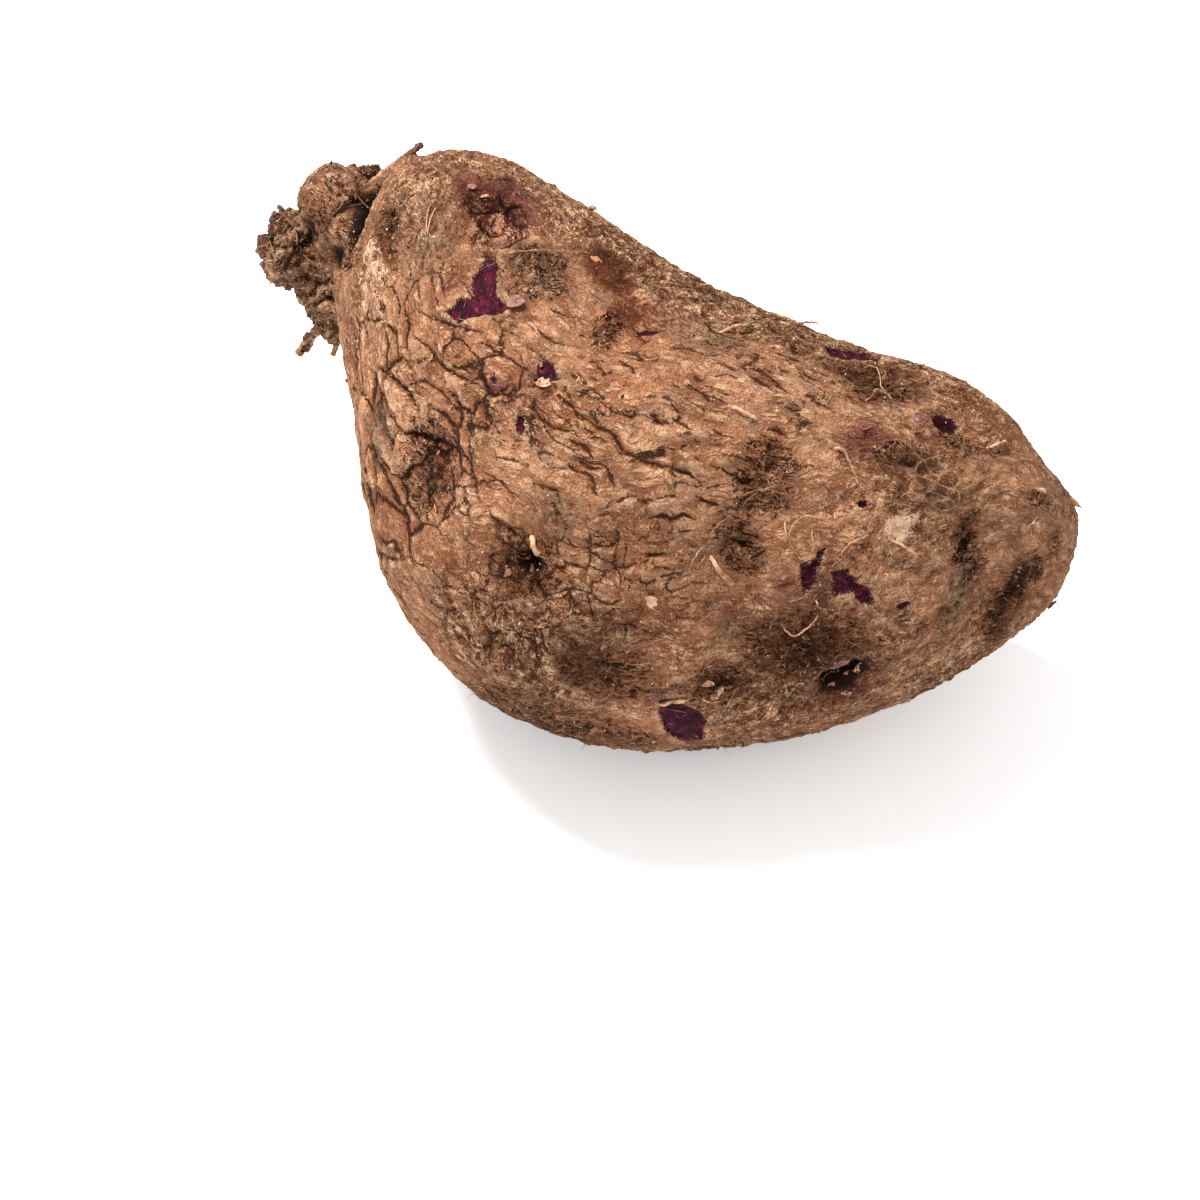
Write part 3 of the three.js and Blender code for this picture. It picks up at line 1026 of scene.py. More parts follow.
@dataclass
class BarkPattern:
    """The cracks, plates and fibres of the bark, drawn the same way for the shape and for the colour.

    All sizes are in millimetres. What changes slowly over the skin is worked out once for each point of the
    mesh and stored there. The cracks and fibres are drawn from it, as sharp as they are looked at.
    """

    plate: float = 5.4  # the width of the bark's plates
    plate_stretch: float = 2.6  # how much longer than wide they are
    crackle: float = 2.5  # the width of its small scales
    crackle_stretch: float = 1.6
    dash: float = 3.3  # the gap between its short splits, across them
    dash_stretch: float = 2.6
    fissure: float = 4.6  # the gap between its long wavy furrows
    fissure_stretch: float = 3.4
    crease: float = 2.0  # the gap between its fine creases, across them
    crease_stretch: float = 2.8
    crust: float = 1.5  # the size of the crumbs of its crust
    scar: float = 4.0  # the gap between the small round scars in its crust
    fibre: float = 0.5  # the width of its fibres
    grain: float = 0.3  # the size of its finest pits
    trees: dict[TreeKind, NodeTree] = field(default_factory=dict)

    FIELDS = ("Wavy", "Broad", "Middling", "Furrow")
    SHARES = ("Plates", "Fissures", "Crackle", "Crusty", "Split", "Gape")

    def lay_out(self, draw: Growth, geometry: Term) -> Term:
        """Stores what changes slowly over the skin, for the pattern to draw from.

        Args:
            draw: the geometry tree that is being drawn.
            geometry: the mesh, which already has its flow and its marks.

        Returns:
            The mesh with the fields "wavy", "broad", "middling", "furrow", "wrinkle" and "crusty".
        """
        flow = pushed = draw.vectors("flow")
        for size, reach in ((24, 7.0), (8, 3.4), (3.0, 1.2)):
            pushed = draw.vector("ADD", pushed, draw.push(pushed, size, reach))
        done = draw.stored(geometry, "wavy", pushed, "FLOAT_VECTOR")
        wavy = draw.vectors("wavy")
        fields = {
            "broad": draw.clouds(flow, 15, 3, 0.55),
            "middling": draw.clouds(draw.stretched(wavy, 1.5), 5, 3, 0.6),
            "furrow": draw.clouds(draw.stretched(wavy, self.fissure_stretch), self.fissure, 1.2, 0.5),
        }
        for name, value in fields.items():
            done = draw.stored(done, name, value, "FLOAT_VECTOR")
        done = draw.stored(done, "wrinkle", draw.cloud(draw.stretched(wavy, 2.4), 2.4, 2, 0.6))
        shares = {Mark.CROWN: 1.0, Mark.SOIL: 1.0, Mark.AGED: 1.0, Mark.DUST: 0.9, Mark.FUZZ: 0.5}
        return draw.stored(done, "crusty", draw.highest(0.2, *(draw.mark(m) * s for m, s in shares.items())))

    def place_in(self, draw: Sketch) -> dict[str, Term]:
        """Puts the pattern into a tree.

        Args:
            draw: the tree, whose mesh has the pattern's fields.

        Returns:
            What the pattern puts out, by name.
        """
        kind = TreeKind(draw.tree.bl_idname)
        if kind not in self.trees:
            self.trees[kind] = self._draw(kind)
        node = draw.node(kind.group, {}, node_tree=self.trees[kind])
        for name in self.FIELDS:
            draw.feed(node.inputs[name], draw.vectors(name.lower()))
        for name in self.SHARES:
            draw.feed(node.inputs[name], draw.attribute(name.lower()))
        return draw.terms(node)

    def _draw(self, kind: TreeKind) -> NodeTree:
        """Draws the pattern as a node group.

        Args:
            kind: the kind of tree that it can be placed in.

        Returns:
            The group's tree.
        """
        sorts = {**dict.fromkeys(self.FIELDS, "Vector"), **dict.fromkeys(self.SHARES, "Float")}
        draw, given = group_sketch(f"bark_pattern_{kind.name.lower()}", kind, sorts)
        wavy, plates = given["Wavy"], given["Plates"]
        fibre = draw.cloud(draw.stretched(wavy, 2.8), self.fibre, 3, 0.6)
        grain = draw.cloud(wavy, self.grain, 2, 0.65)
        rough = fibre.centred(0.7) + grain.centred(0.5)
        crackle_gap = draw.edge_gap(draw.stretched(wavy, self.crackle_stretch), self.crackle)
        crackle_gape = given["Crackle"] * given["Middling"].parts()[1].ramp(0.36, 0.6, 0.05, 0.15)
        dash_gap, dash_gape, tone = self._dashes(draw, given)
        plate_gap, plate_gape, plate = self._plates(draw, given)
        systems = (
            (abs(given["Split"] + fibre.centred(1.4)), given["Gape"] * 0.55),
            (crackle_gap, crackle_gape),
            (dash_gap, dash_gape),
            (plate_gap, plate_gape),
            *self._furrows(given),
        )
        crack = draw.highest(*(self._slot(gap + rough, gape) for gap, gape in systems))
        valley = draw.highest(*(self._banks(gap, gape) for gap, gape in systems))
        crease = self._creases(draw, given)
        crust = draw.cloud(wavy, self.crust, 4, 0.68)
        scar, ring = self._scars(draw, given)
        height = (
            crack * -0.8
            - valley * 0.8
            + fibre.centred(0.7)
            + grain.centred(1.0)
            - crease * 0.45
            + crust.centred(5.0) * given["Crusty"]
            + plate.centred(plates) * plate_gap.ramp(0.0, 1.4) * 1.1
            - scar * 0.7
            + ring * 0.5
        )
        draw.put_out({
            "Crack": crack, "Valley": valley, "Crease": crease, "Net": crackle_gap.ramp(0.04, 0.3, 1.0, 0.0),
            "Tone": tone, "Plate": plate, "Fibre": fibre, "Grain": grain, "Crust": crust,
            "Scar": scar, "Ring": ring, "Height": height,
        })
        return draw.tree

    def _plates(self, draw: Sketch, given: Mapping[str, Term]) -> tuple[Term, Term, Term]:
        """The cracks between the bark's plates.

        Args:
            draw: the pattern's tree.
            given: the group's inputs.

        Returns:
            The distance to the nearest crack, its half-width, and each plate's own share.
        """
        place = draw.stretched(given["Wavy"], self.plate_stretch)
        swell = given["Broad"].parts()[0] + given["Middling"].parts()[0].centred(0.9)
        gape = given["Plates"] * swell.ramp(0.32, 0.62, 0.08, 0.32)
        return draw.edge_gap(place, self.plate), gape, draw.cells(place, self.plate)["Color"].parts()[0]

    def _creases(self, draw: Sketch, given: Mapping[str, Term]) -> Term:
        """The fine creases that run everywhere along the grain.

        Args:
            draw: the pattern's tree.
            given: the group's inputs.

        Returns:
            1 along the middle of them.
        """
        levels = draw.clouds(draw.stretched(given["Wavy"], self.crease_stretch), self.crease, 2.5, 0.55)
        lines = [abs(level.centred()).ramp(0.01, 0.06, 1.0, 0.0) for level in levels.parts()[:2]]
        return draw.highest(*lines) * given["Middling"].parts()[2].ramp(0.36, 0.6, 0.4, 1.0)

    def _scars(self, draw: Sketch, given: Mapping[str, Term]) -> tuple[Term, Term]:
        """Small round scars in the crust.

        Args:
            draw: the pattern's tree.
            given: the group's inputs.

        Returns:
            1 inside each scar, and 1 along the ring round it.
        """
        cells = draw.cells(given["Wavy"], self.scar)
        chance = cells["Color"].parts()
        reach = cells["Distance"] * self.scar
        radius = chance[1] * 0.9 + 0.5
        chosen = chance[0].ramp(0.4, 0.5) * given["Crusty"]
        ring = abs(reach - radius).ramp(0.06, 0.3, 1.0, 0.0)
        return reach.ramp(radius * 0.5, radius, 1.0, 0.0) * chosen, ring * chosen

    def _furrows(self, given: Mapping[str, Term]) -> list[tuple[Term, Term]]:
        """Two sets of long wavy furrows.

        Args:
            given: the group's inputs.

        Returns:
            The distance to the nearest furrow of each set, with its half-width.
        """
        furrow, middling = given["Furrow"].parts(), given["Middling"].parts()
        sets = []
        for level, swell, most in ((furrow[0], middling[2], 0.2), (furrow[1], middling[1], 0.14)):
            sets.append((abs(level - 0.5) * 9.0, given["Fissures"] * swell.ramp(0.42, 0.6, 0.0, most)))
        return sets

    def _dashes(self, draw: Sketch, given: Mapping[str, Term]) -> tuple[Term, Term, Term]:
        """Short separate splits along the grain, one in the middle of each cell of the bark.

        Args:
            draw: the pattern's tree.
            given: the group's inputs.

        Returns:
            The distance to the nearest split, its half-width, and each cell's own shade.
        """
        place = draw.stretched(given["Wavy"], self.dash_stretch)
        cells = draw.cells(place, self.dash)
        chance = cells["Color"].parts()
        reach = draw.vector("SUBTRACT", place, cells["Position"])
        round_axis = draw.vector("MULTIPLY", place, (0.0, 1.0, 1.0))
        radius = draw.out("ShaderNodeVectorMath", {0: round_axis}, "Value", operation="LENGTH")
        turned = draw.vector("CROSS_PRODUCT", place, reach).parts()[0]
        along = reach.parts()[0] * self.dash_stretch
        share = along / (chance[0] * 3.6 + 1.0)
        taper = draw.math("SUBTRACT", 1.0, share * share, clamp=True)
        amount = draw.highest(given["Fissures"], given["Plates"] * 0.6, 0.5)
        gape = amount * taper * chance[1].ramp(0.3, 1.0, 0.0, 0.2)
        return abs(turned / radius + along * chance[2].centred(0.5)), gape, chance[0]

    @staticmethod
    def _slot(gap: Term, width: Term) -> Term:
        """1 in the middle of a crack of some half-width and 0 outside it, from the distance to its middle."""
        return gap.ramp(width * 0.3, width + 0.03, 1.0, 0.0) * width.ramp(0.02, 0.12)

    @staticmethod
    def _banks(gap: Term, width: Term) -> Term:
        """The soft slope down to a crack: as deep as the crack is wide, and three times as wide."""
        return gap.ramp(0.0, width * 3.6 + 0.15, 1.0, 0.0) * width.ramp(0.03, 0.34)


def linked(name: str, data: Any) -> Object:
    """Adds an object to the scene.

    Args:
        name: its name.
        data: what it holds, such as a mesh.

    Returns:
        The object.
    """
    made = bpy.data.objects.new(name, data)
    bpy.context.scene.collection.objects.link(made)
    return made


def evaluated_copy(source: Object, name: str) -> Object:
    """A plain mesh object made from another object with its modifiers applied.

    Args:
        source: the object to evaluate. It is removed.
        name: the new object's name.

    Returns:
        The new object, at the origin.
    """
    graph = bpy.context.evaluated_depsgraph_get()
    mesh = bpy.data.meshes.new_from_object(source.evaluated_get(graph), depsgraph=graph)
    mesh.name = name
    bpy.data.objects.remove(source)
    return linked(name, mesh)


def grown(mesh: Mesh, tree: NodeTree, name: str, inputs: Mapping[str, Any]) -> Object:
    """Runs a Geometry Nodes tree on a mesh and returns the plain result.

    Args:
        mesh: what the tree starts from.
        tree: the tree, with named inputs.
        name: the result's name.
        inputs: a value for each named input that isn't left at its default.

    Returns:
        The finished object, with no modifier left on it.
    """
    start = linked(f"{name}_start", mesh)
    modifier = start.modifiers.new(tree.name, "NODES")
    modifier.node_group = tree
    sockets = {s.name: s.identifier for s in tree.interface.items_tree if s.item_type == "SOCKET"}
    for key, value in inputs.items():
        modifier[sockets[key]] = value
    return evaluated_copy(start, name)


@dataclass
class Tuber:
    """The whole yam's skin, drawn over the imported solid. Its sizes are in millimetres."""

    bark: BarkPattern
    skin_map: SkinMap
    voxel: float = 0.835  # the fineness of its mesh
    lump: float = 1.5  # the height of its broad unevenness
    bump: float = 0.8  # the height of its middling unevenness
    crack_depth: float = 0.9  # how deep its widest cracks go
    peel_depth: float = 0.8  # the thickness of the bark where it has come away
    crown_relief: float = 3.4  # how rough its crown is
    crust_relief: float = 4.8  # how rough its crust is
    name: str = "tuber_skin"

    def build(self, node: Object, finish: Material) -> tuple[Object, Skin]:
        """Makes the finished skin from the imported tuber.

        Args:
            node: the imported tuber's object, which is left as it is.
            finish: the skin's material.

        Returns:
            The skin's object, and its measured surface.
        """
        mesh = self._remeshed(node)
        surface = self.skin_map.write(mesh)
        sizes = sizes_of(self, "lump", "bump", "crack_depth", "peel_depth", "crown_relief", "crust_relief")
        made = grown(mesh, self._relief_tree(sizes), self.name, {"Finish": finish, **sizes})
        made.data.polygons.foreach_set("use_smooth", [True] * len(made.data.polygons))
        made.data.update()
        surface.settle(made.data)
        return made, surface

    def _remeshed(self, node: Object) -> Mesh:
        """Makes an even mesh for the relief.

        Args:
            node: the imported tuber's object.

        Returns:
            The tuber as one closed mesh with no material.
        """
        copy = linked("tuber_copy", node.data.copy())
        weld = copy.modifiers.new("weld", "WELD")
        weld.merge_threshold = 0.01 * MM
        remesh = copy.modifiers.new("even", "REMESH")
        remesh.mode = "VOXEL"
        remesh.voxel_size = self.voxel * MM
        even = evaluated_copy(copy, "tuber_even")
        mesh = even.data
        bpy.data.objects.remove(even)
        mesh.materials.clear()
        return mesh

    def _relief_tree(self, sizes: Mapping[str, float]) -> NodeTree:
        """Relaxes the mesh and raises its relief.

        Args:
            sizes: the tree's named inputs.

        Returns:
            The tree.
        """
        draw = Growth("tuber_relief", sizes)
        hold = 1.0 - draw.mark(Mark.CROWN) * 0.75
        relaxed = draw.moved(draw.given["Geometry"], Position=draw.relaxed(14, hold))
        laid_out = self.bark.lay_out(draw, relaxed)
        raised = draw.moved(laid_out, Offset=draw.scaled(draw.normal(), self._height(draw) * MM))
        # cavity and dip measure how far each point stands above its surroundings; the skin material paints
        # highlight and shade from them
        return draw.closed(draw.stand(draw.stand(raised, "cavity", 4), "dip", 40))

    def _height(self, draw: Growth) -> Term:
        """Adds up the skin's relief.

        Args:
            draw: the relief tree, whose mesh has every field.

        Returns:
            How far each vertex stands out, in millimetres.
        """
        given, bark = draw.given, self.bark.place_in(draw)
        flow, crown = draw.vectors("flow"), draw.mark(Mark.CROWN)
        peel = self.torn(draw).ramp(0.4, 0.6)
        knots = draw.cloud(draw.stretched(flow, 2.6), 3.0, 2.5, 0.55)
        folds = abs(draw.cloud(draw.stretched(flow, 1.3), 6.5, 1.5).centred())
        clefts = folds.ramp(0.0, 0.07, 1.0, 0.0) * crown
        crumbs = draw.cloud(draw.vectors("wavy"), 2.6, 3, 0.6)
        crusty = draw.attribute("crusty") * crown.ramp(0.0, 1.0, 1.0, 0.45)
        raised = bark["Plate"].centred(0.9) * draw.mark(Mark.PLATES)
        skin = (
            draw.cloud(flow, 16, 2).centred(given["Lump"])
            + draw.vectors("middling").parts()[0].centred(given["Bump"])
            + draw.attribute("wrinkle").centred(given["Bump"] * 2.2)
            - bark["Valley"] * given["Crack Depth"]
            + knots.centred(crown) * given["Crown Relief"]
            - clefts * given["Crown Relief"] * 0.5
            + crumbs.centred(given["Crust Relief"]) * crusty
            + raised * (1.0 - bark["Valley"])
        )
        kept = skin * (1.0 - peel * 0.6)
        return kept - peel * given["Peel Depth"] - draw.mark(Mark.HOLLOW) + draw.mark(Mark.SWELL)

    def torn(self, draw: Sketch) -> Term:
        """Over a half where the bark has come away and under it where it holds, with a ragged edge."""
        ragged = draw.cloud(draw.vectors("flow"), 1.6, 2, 0.6).centred(0.55)
        return draw.mark(Mark.PEEL) + (draw.vectors("middling").parts()[1].centred(0.25) + ragged)


@dataclass(frozen=True)
class SkinFinish:
    """The bark and the bare purple flesh under it, as one material."""

    bark: Colour = srgb(186, 134, 100)  # worn, even bark
    brown: Colour = srgb(152, 99, 68)  # its redder parts
    grey: Colour = srgb(118, 97, 84)  # its weathered parts
    light: Colour = srgb(226, 192, 154)  # its pale torn edges, and painted highlight on its crests, raised grain and scar rings
    bank: Colour = srgb(124, 76, 50)  # painted shade on the slopes down to its cracks and in its fine creases
    dark: Colour = srgb(86, 54, 37)  # its older, darker parts, and painted shade in its low places and scar middles
    crack: Colour = srgb(44, 26, 18)  # down in the cracks: their dark inside and painted shade; also painted shadow in hollows, crown clefts and crust crevices
    deep: Colour = srgb(14, 8, 6)  # painted shadow at the bottom of the deepest hollows
    weathered_and_shaded: Colour = srgb(194, 184, 174)  # what the oldest bark, the dry crown and the painted shade on the lower sides keep of the bark's colour
    soil: Colour = srgb(84, 66, 54)  # what caked earth leaves of it
    dust: Colour = srgb(112, 88, 68)  # grey dust
    pale: Colour = srgb(222, 184, 152)  # a rubbed, chalky place
    russet: Colour = srgb(134, 98, 84)  # what a reddish stain leaves of the bark's colour
    wine: Colour = srgb(146, 104, 138)  # what a purple stain leaves of it
    purple: Colour = srgb(78, 17, 37)  # bare flesh
    plum: Colour = srgb(28, 8, 15)  # the darkest flesh, also painted as shade just inside a torn edge and in the flesh's low places
    lilac: Colour = srgb(124, 54, 68)  # its torn, dried edges
    roughness: float = 0.88  # how matt the bark is
    flesh_roughness: float = 0.55

    def material(self, bark: BarkPattern, tear: Callable[[Sketch], Term]) -> Material:
        """Draws the material.

        Args:
            bark: the pattern of the cracks and fibres.
            tear: draws where the bark has come away.

        Returns:
            The material.
        """
        made, draw, shader = blank_material("yam_skin")
        pattern = bark.place_in(draw)
        ragged = pattern["Grain"].centred(1.0) + pattern["Fibre"].centred(0.8)
        torn = tear(draw) + ragged
        peel = torn.ramp(0.47, 0.53)
        patch = ragged + pattern["Crust"].centred(3.0)
        colour = draw.painted(
            self._dirtied(draw, pattern, self._bark_colour(draw, pattern)),
            (torn.ramp(0.38, 0.46) * pattern["Fibre"].ramp(0.4, 0.6, 0.0, 0.45), self.light),
            # painted shadow: the flesh darkens to plum just inside the torn edge
            (peel, draw.tint(torn.ramp(0.5, 0.95, 0.85, 0.0), self._flesh_colour(draw, pattern), self.plum)),
            # painted shadow in the hollows, near black in the deepest
            (self._blotch(draw, Mark.HOLLOW, patch, (0.6, 1.5, 0.92)), self.crack),
            (self._blotch(draw, Mark.HOLLOW, ragged, (1.6, 2.8, 0.95)), self.deep),
        )
        draw.feed(shader.inputs["Base Color"], colour)
        draw.feed(shader.inputs["Roughness"], draw.blend(peel, self.roughness, self.flesh_roughness))
        shader.inputs["Specular IOR Level"].default_value = 0.04
        draw.bump(shader, draw.blend(peel, pattern["Height"], pattern["Grain"].centred(0.4) - 0.6), MM)
        return made

    def _bark_colour(self, draw: Sketch, pattern: Mapping[str, Term]) -> Term:
        """Paints the bark with its fibres, plates and cracks, and with painted highlight and shade that follow
        its relief.

        Args:
            draw: the material that is being drawn.
            pattern: the bark's pattern in it.

        Returns:
            The bark's colour, before any dirt.
        """
        broad, middling = draw.vectors("broad").parts(), draw.vectors("middling").parts()
        crusty, wrinkle = draw.attribute("crusty"), draw.attribute("wrinkle")
        cavity, dip = draw.attribute("cavity"), draw.attribute("dip")
        plates, crown = draw.mark(Mark.PLATES), draw.mark(Mark.CROWN) * 0.45
        coarse = crusty * 0.9 + 0.65
        # the grain's own tone, and also painted highlight and shade: it follows the noises that raise the
        # relief
        fleck_and_shade = (
            pattern["Fibre"].centred(0.7) * coarse
            + pattern["Grain"].centred(2.2) * coarse
            + pattern["Crust"].centred(4.2) * crusty
            + pattern["Plate"].centred(0.3) * plates
            + pattern["Tone"].centred(0.12)
        )
        uneven = fleck_and_shade + wrinkle.centred(0.5)
        fine = pattern["Crust"] + pattern["Grain"].centred(0.7) + pattern["Fibre"].centred(0.3)
        colour = draw.painted(
            self.bark,
            (broad[1].ramp(0.38, 0.62, 0.0, 0.8), self.brown),
            ((middling[1] + fleck_and_shade * 0.2).ramp(0.5, 0.62, 0.0, 0.55), self.grey),
            ((middling[2] - fleck_and_shade * 0.25).ramp(0.5, 0.68, 0.0, 0.6), self.dark),
            (wrinkle.ramp(0.4, 0.64, 0.0, 0.55), self.brown),
            # painted highlight on raised grain and painted shade in low grain, over the grain's own tone
            (uneven.ramp(0.0, 0.55, 0.0, 0.55), self.light),
            (uneven.ramp(-0.08, -0.55, 0.0, 0.75), self.dark),
            # painted highlight on the crust's crumbs and painted shade in its crevices
            (fine.ramp(0.54, 0.66) * crusty * 0.9, self.light),
            (fine.ramp(0.46, 0.36) * crusty * 0.95, self.crack),
            # painted highlight on points that stand out, painted shade on points sunk below their surroundings
            (cavity.ramp(0.03, 0.25, 0.0, 0.3), self.light),
            (cavity.ramp(-0.06, -0.3, 0.0, 0.8), self.dark),
            # painted shade in broad hollows, near black in the crown's clefts
            (dip.ramp(-0.2, -1.4, 0.0, 0.55), self.dark),
            (dip.ramp(-0.2, -1.6) * crown * 1.8, self.crack),
            # painted shade in each sunken scar and painted highlight on its raised ring
            (pattern["Scar"] * 0.6, self.dark),
            (pattern["Ring"] * 0.35, self.light),
            # painted shade in the fine creases and on the slopes down to the cracks
            (pattern["Crease"] * 0.8, self.bank),
            ((pattern["Valley"] - uneven * 0.35).ramp(0.15, 0.75, 0.0, 0.8), self.bank),
            # the cracks' dark inside, with painted shade that deepens as they gape wider
            (pattern["Crack"].ramp(0.05, 0.5, 0.0, 0.7), self.dark),
            (pattern["Crack"].ramp(0.5, 0.9) * (plates * 0.3 + 0.6), self.crack),
        )
        # weathering of the crown and the weathered marks, with painted shade on the lower sides, dulls the
        # colour, less on raised grain
        weathered_and_shaded = draw.highest(crown, draw.mark(Mark.AGED))
        return draw.tint((weathered_and_shaded - uneven * 0.9).ramp(0.0, 1.0), colour, self.weathered_and_shaded, "MULTIPLY")

    def _dirtied(self, draw: Sketch, pattern: Mapping[str, Term], colour: Term) -> Term:
        """Adds the dust, stains, soil and pale patches.

        Args:
            draw: the material that is being drawn.
            pattern: the bark's pattern in it.
            colour: the bark's colour.

        Returns:
            The colour with its dirt.
        """
        broken = pattern["Grain"].centred(2.4) + pattern["Fibre"].centred(2.0) + pattern["Crust"].centred(2.6)
        patch = draw.vectors("middling").parts()[0].centred(2.2) + draw.attribute("wrinkle").centred(1.6)
        patches = (
            (Mark.DUST, self.dust, "MIX", 1.8, (0.25, 0.8, 0.6)),
            (Mark.PALE, self.pale, "MIX", 0.5, (0.4, 0.65, 0.7)),
            (Mark.RUSSET, self.russet, "MULTIPLY", 1.0, (0.25, 0.8, 0.95)),
            (Mark.STAIN, self.wine, "MULTIPLY", 1.6, (0.25, 0.8, 0.9)),
            (Mark.SOIL, self.soil, "MULTIPLY", 3.6, (0.0, 1.3, 1.0)),
        )
        for mark, shade, mode, fineness, edge in patches:
            colour = draw.tint(self._blotch(draw, mark, patch + broken * fineness, edge), colour, shade, mode)
        floor = draw.tint((pattern["Tone"] + broken).ramp(-0.2, 1.2, 1.0, 0.4), colour, self.dark)
        netted = draw.tint(pattern["Net"], floor, draw.tint(0.5, colour, self.bark))
        return draw.tint((draw.mark(Mark.NET) + broken * 0.2).ramp(0.2, 0.6), colour, netted)

    def _blotch(self, draw: Sketch, mark: Mark, uneven: Term, edge: tuple[float, float, float]) -> Term:
        """How much of a mark shows at each point.

        Args:
            draw: the material that is being drawn.
            mark: the mark.
            uneven: what breaks it up, where it is and nowhere else.
            edge: how strong it has to be to begin to show and to show fully, and how much it shows then.

        Returns:
            The share.
        """
        spread = draw.mark(mark)
        start, full, most = edge
        return (spread + uneven * spread.ramp(0.02, 0.35)).ramp(start, full, 0.0, most)

    def _flesh_colour(self, draw: Sketch, pattern: Mapping[str, Term]) -> Term:
        """Paints the bare flesh.

        Args:
            draw: the material that is being drawn.
            pattern: the bark's pattern in it.

        Returns:
            Its colour: plum to purple, with painted shade where it sinks, and dried lilac flecks.
        """
        crust = pattern["Crust"]
        deep = draw.vectors("middling").parts()[0] + crust.centred(0.9)
        return draw.painted(
            self.plum,
            ((pattern["Grain"] + crust.centred(0.8)).ramp(0.4, 0.62), self.purple),
            # painted shade where the flesh's relief sinks
            (deep.ramp(0.42, 0.6, 0.7, 0.0), self.plum),
            ((pattern["Fibre"] + crust.centred(0.6)).ramp(0.58, 0.74) * 0.6, self.lilac),
        )


@dataclass(frozen=True)
class Thread:
    """One root that runs over the skin. Its sizes are in millimetres."""

    thick: float  # its diameter where it grows out
    thin: float  # its diameter at its free end
    hump: float  # how far its middle stands off the skin
    rise: float  # how far its free end stands off the skin
    line: tuple[Place, ...]  # the places that it runs over, from where it grows out

    def traced(self, skin: Skin) -> np.ndarray:
        """Finds its middle line.

        Args:
            skin: the skin that it runs over.

        Returns:
            The line's points, as rows in millimetres.
        """
        shares = np.linspace(0, 1, len(self.line))
        lifts = self.thin / 3 + self.hump * np.sin(math.pi * shares) + self.rise * shares**2
        lifts[0] = -self.thick
        return np.array([skin.above(place, lift) for place, lift in zip(self.line, lifts)])


@dataclass(frozen=True)
class Twig:
    """One stout root or stalk that stands free of the skin. Its sizes are in millimetres."""

    thick: float  # its diameter where it grows out
    thin: float  # its diameter at its free end
    line: tuple[tuple[float, float, float], ...]  # the points that it runs through

    def traced(self, skin: Skin) -> np.ndarray:
        """Its middle line, as rows in millimetres. It needs nothing of the skin."""
        return np.array(self.line)


@dataclass
class Roots:
    """Roots laid along given lines, as one piece. Its sizes are in millimetres."""

    name: str
    strands: tuple[Union[Thread, Twig], ...]
    sides: int = 7  # how many sides each root has
    step: float = 0.4  # the length of its straight steps
    wander: float = 0.35  # how far it wanders from its line
    knobbly: float = 0.9  # how uneven its thickness is, as a share
    slot: str = "rootlet"

    def build(self, skin: Skin, finish: Material) -> Object:
        """Makes the roots.

        Args:
            skin: the finished skin.
            finish: their material.

        Returns:
            The piece.
        """
        points, edges, widths = [], [], []
        for strand in self.strands:
            traced = strand.traced(skin) * MM
            edges += [(len(points) + number, len(points) + number + 1) for number in range(len(traced) - 1)]
            points += traced.tolist()
            widths += np.linspace(strand.thick, strand.thin, len(traced)).tolist()
        mesh = bpy.data.meshes.new(self.name)
        mesh.from_pydata(points, edges, [])
        mesh.attributes.new("width", "FLOAT", "POINT").data.foreach_set("value", widths)
        sizes = sizes_of(self, "sides", "step", "wander", "knobbly")
        return grown(mesh, self._tree(sizes), self.name, {"Finish": finish, **sizes})

    def _tree(self, sizes: Mapping[str, Size]) -> NodeTree:
        """Grows each line into an uneven, wandering rod.

        Args:
            sizes: the tree's named inputs.

        Returns:
            The tree.
        """
        draw = Growth(f"{self.name}_growth", {"Seed": 3, **sizes})
        line = draw.out("GeometryNodeMeshToCurve", {"Mesh": draw.given["Geometry"]})
        smooth = draw.out("GeometryNodeCurveSplineType", {"Curve": line}, spline_type="CATMULL_ROM")
        feeds = {"Curve": smooth, "Length": draw.length("Step")}
        even = draw.typed("GeometryNodeResampleCurve", feeds, mode="LENGTH")
        told = draw.stored(even, "shade", draw.cloud(draw.place(), 9 * MM, 1))
        wandered = draw.moved(told, Offset=draw.curled(2.6 * MM, draw.length("Wander")))
        lumps = draw.cloud(draw.place(), 0.9 * MM, 2).centred(draw.given["Knobbly"])
        width = draw.attribute("width") * MM * (1.0 + lumps)
        return draw.closed(draw.rods(wandered, width, draw.given["Sides"]))


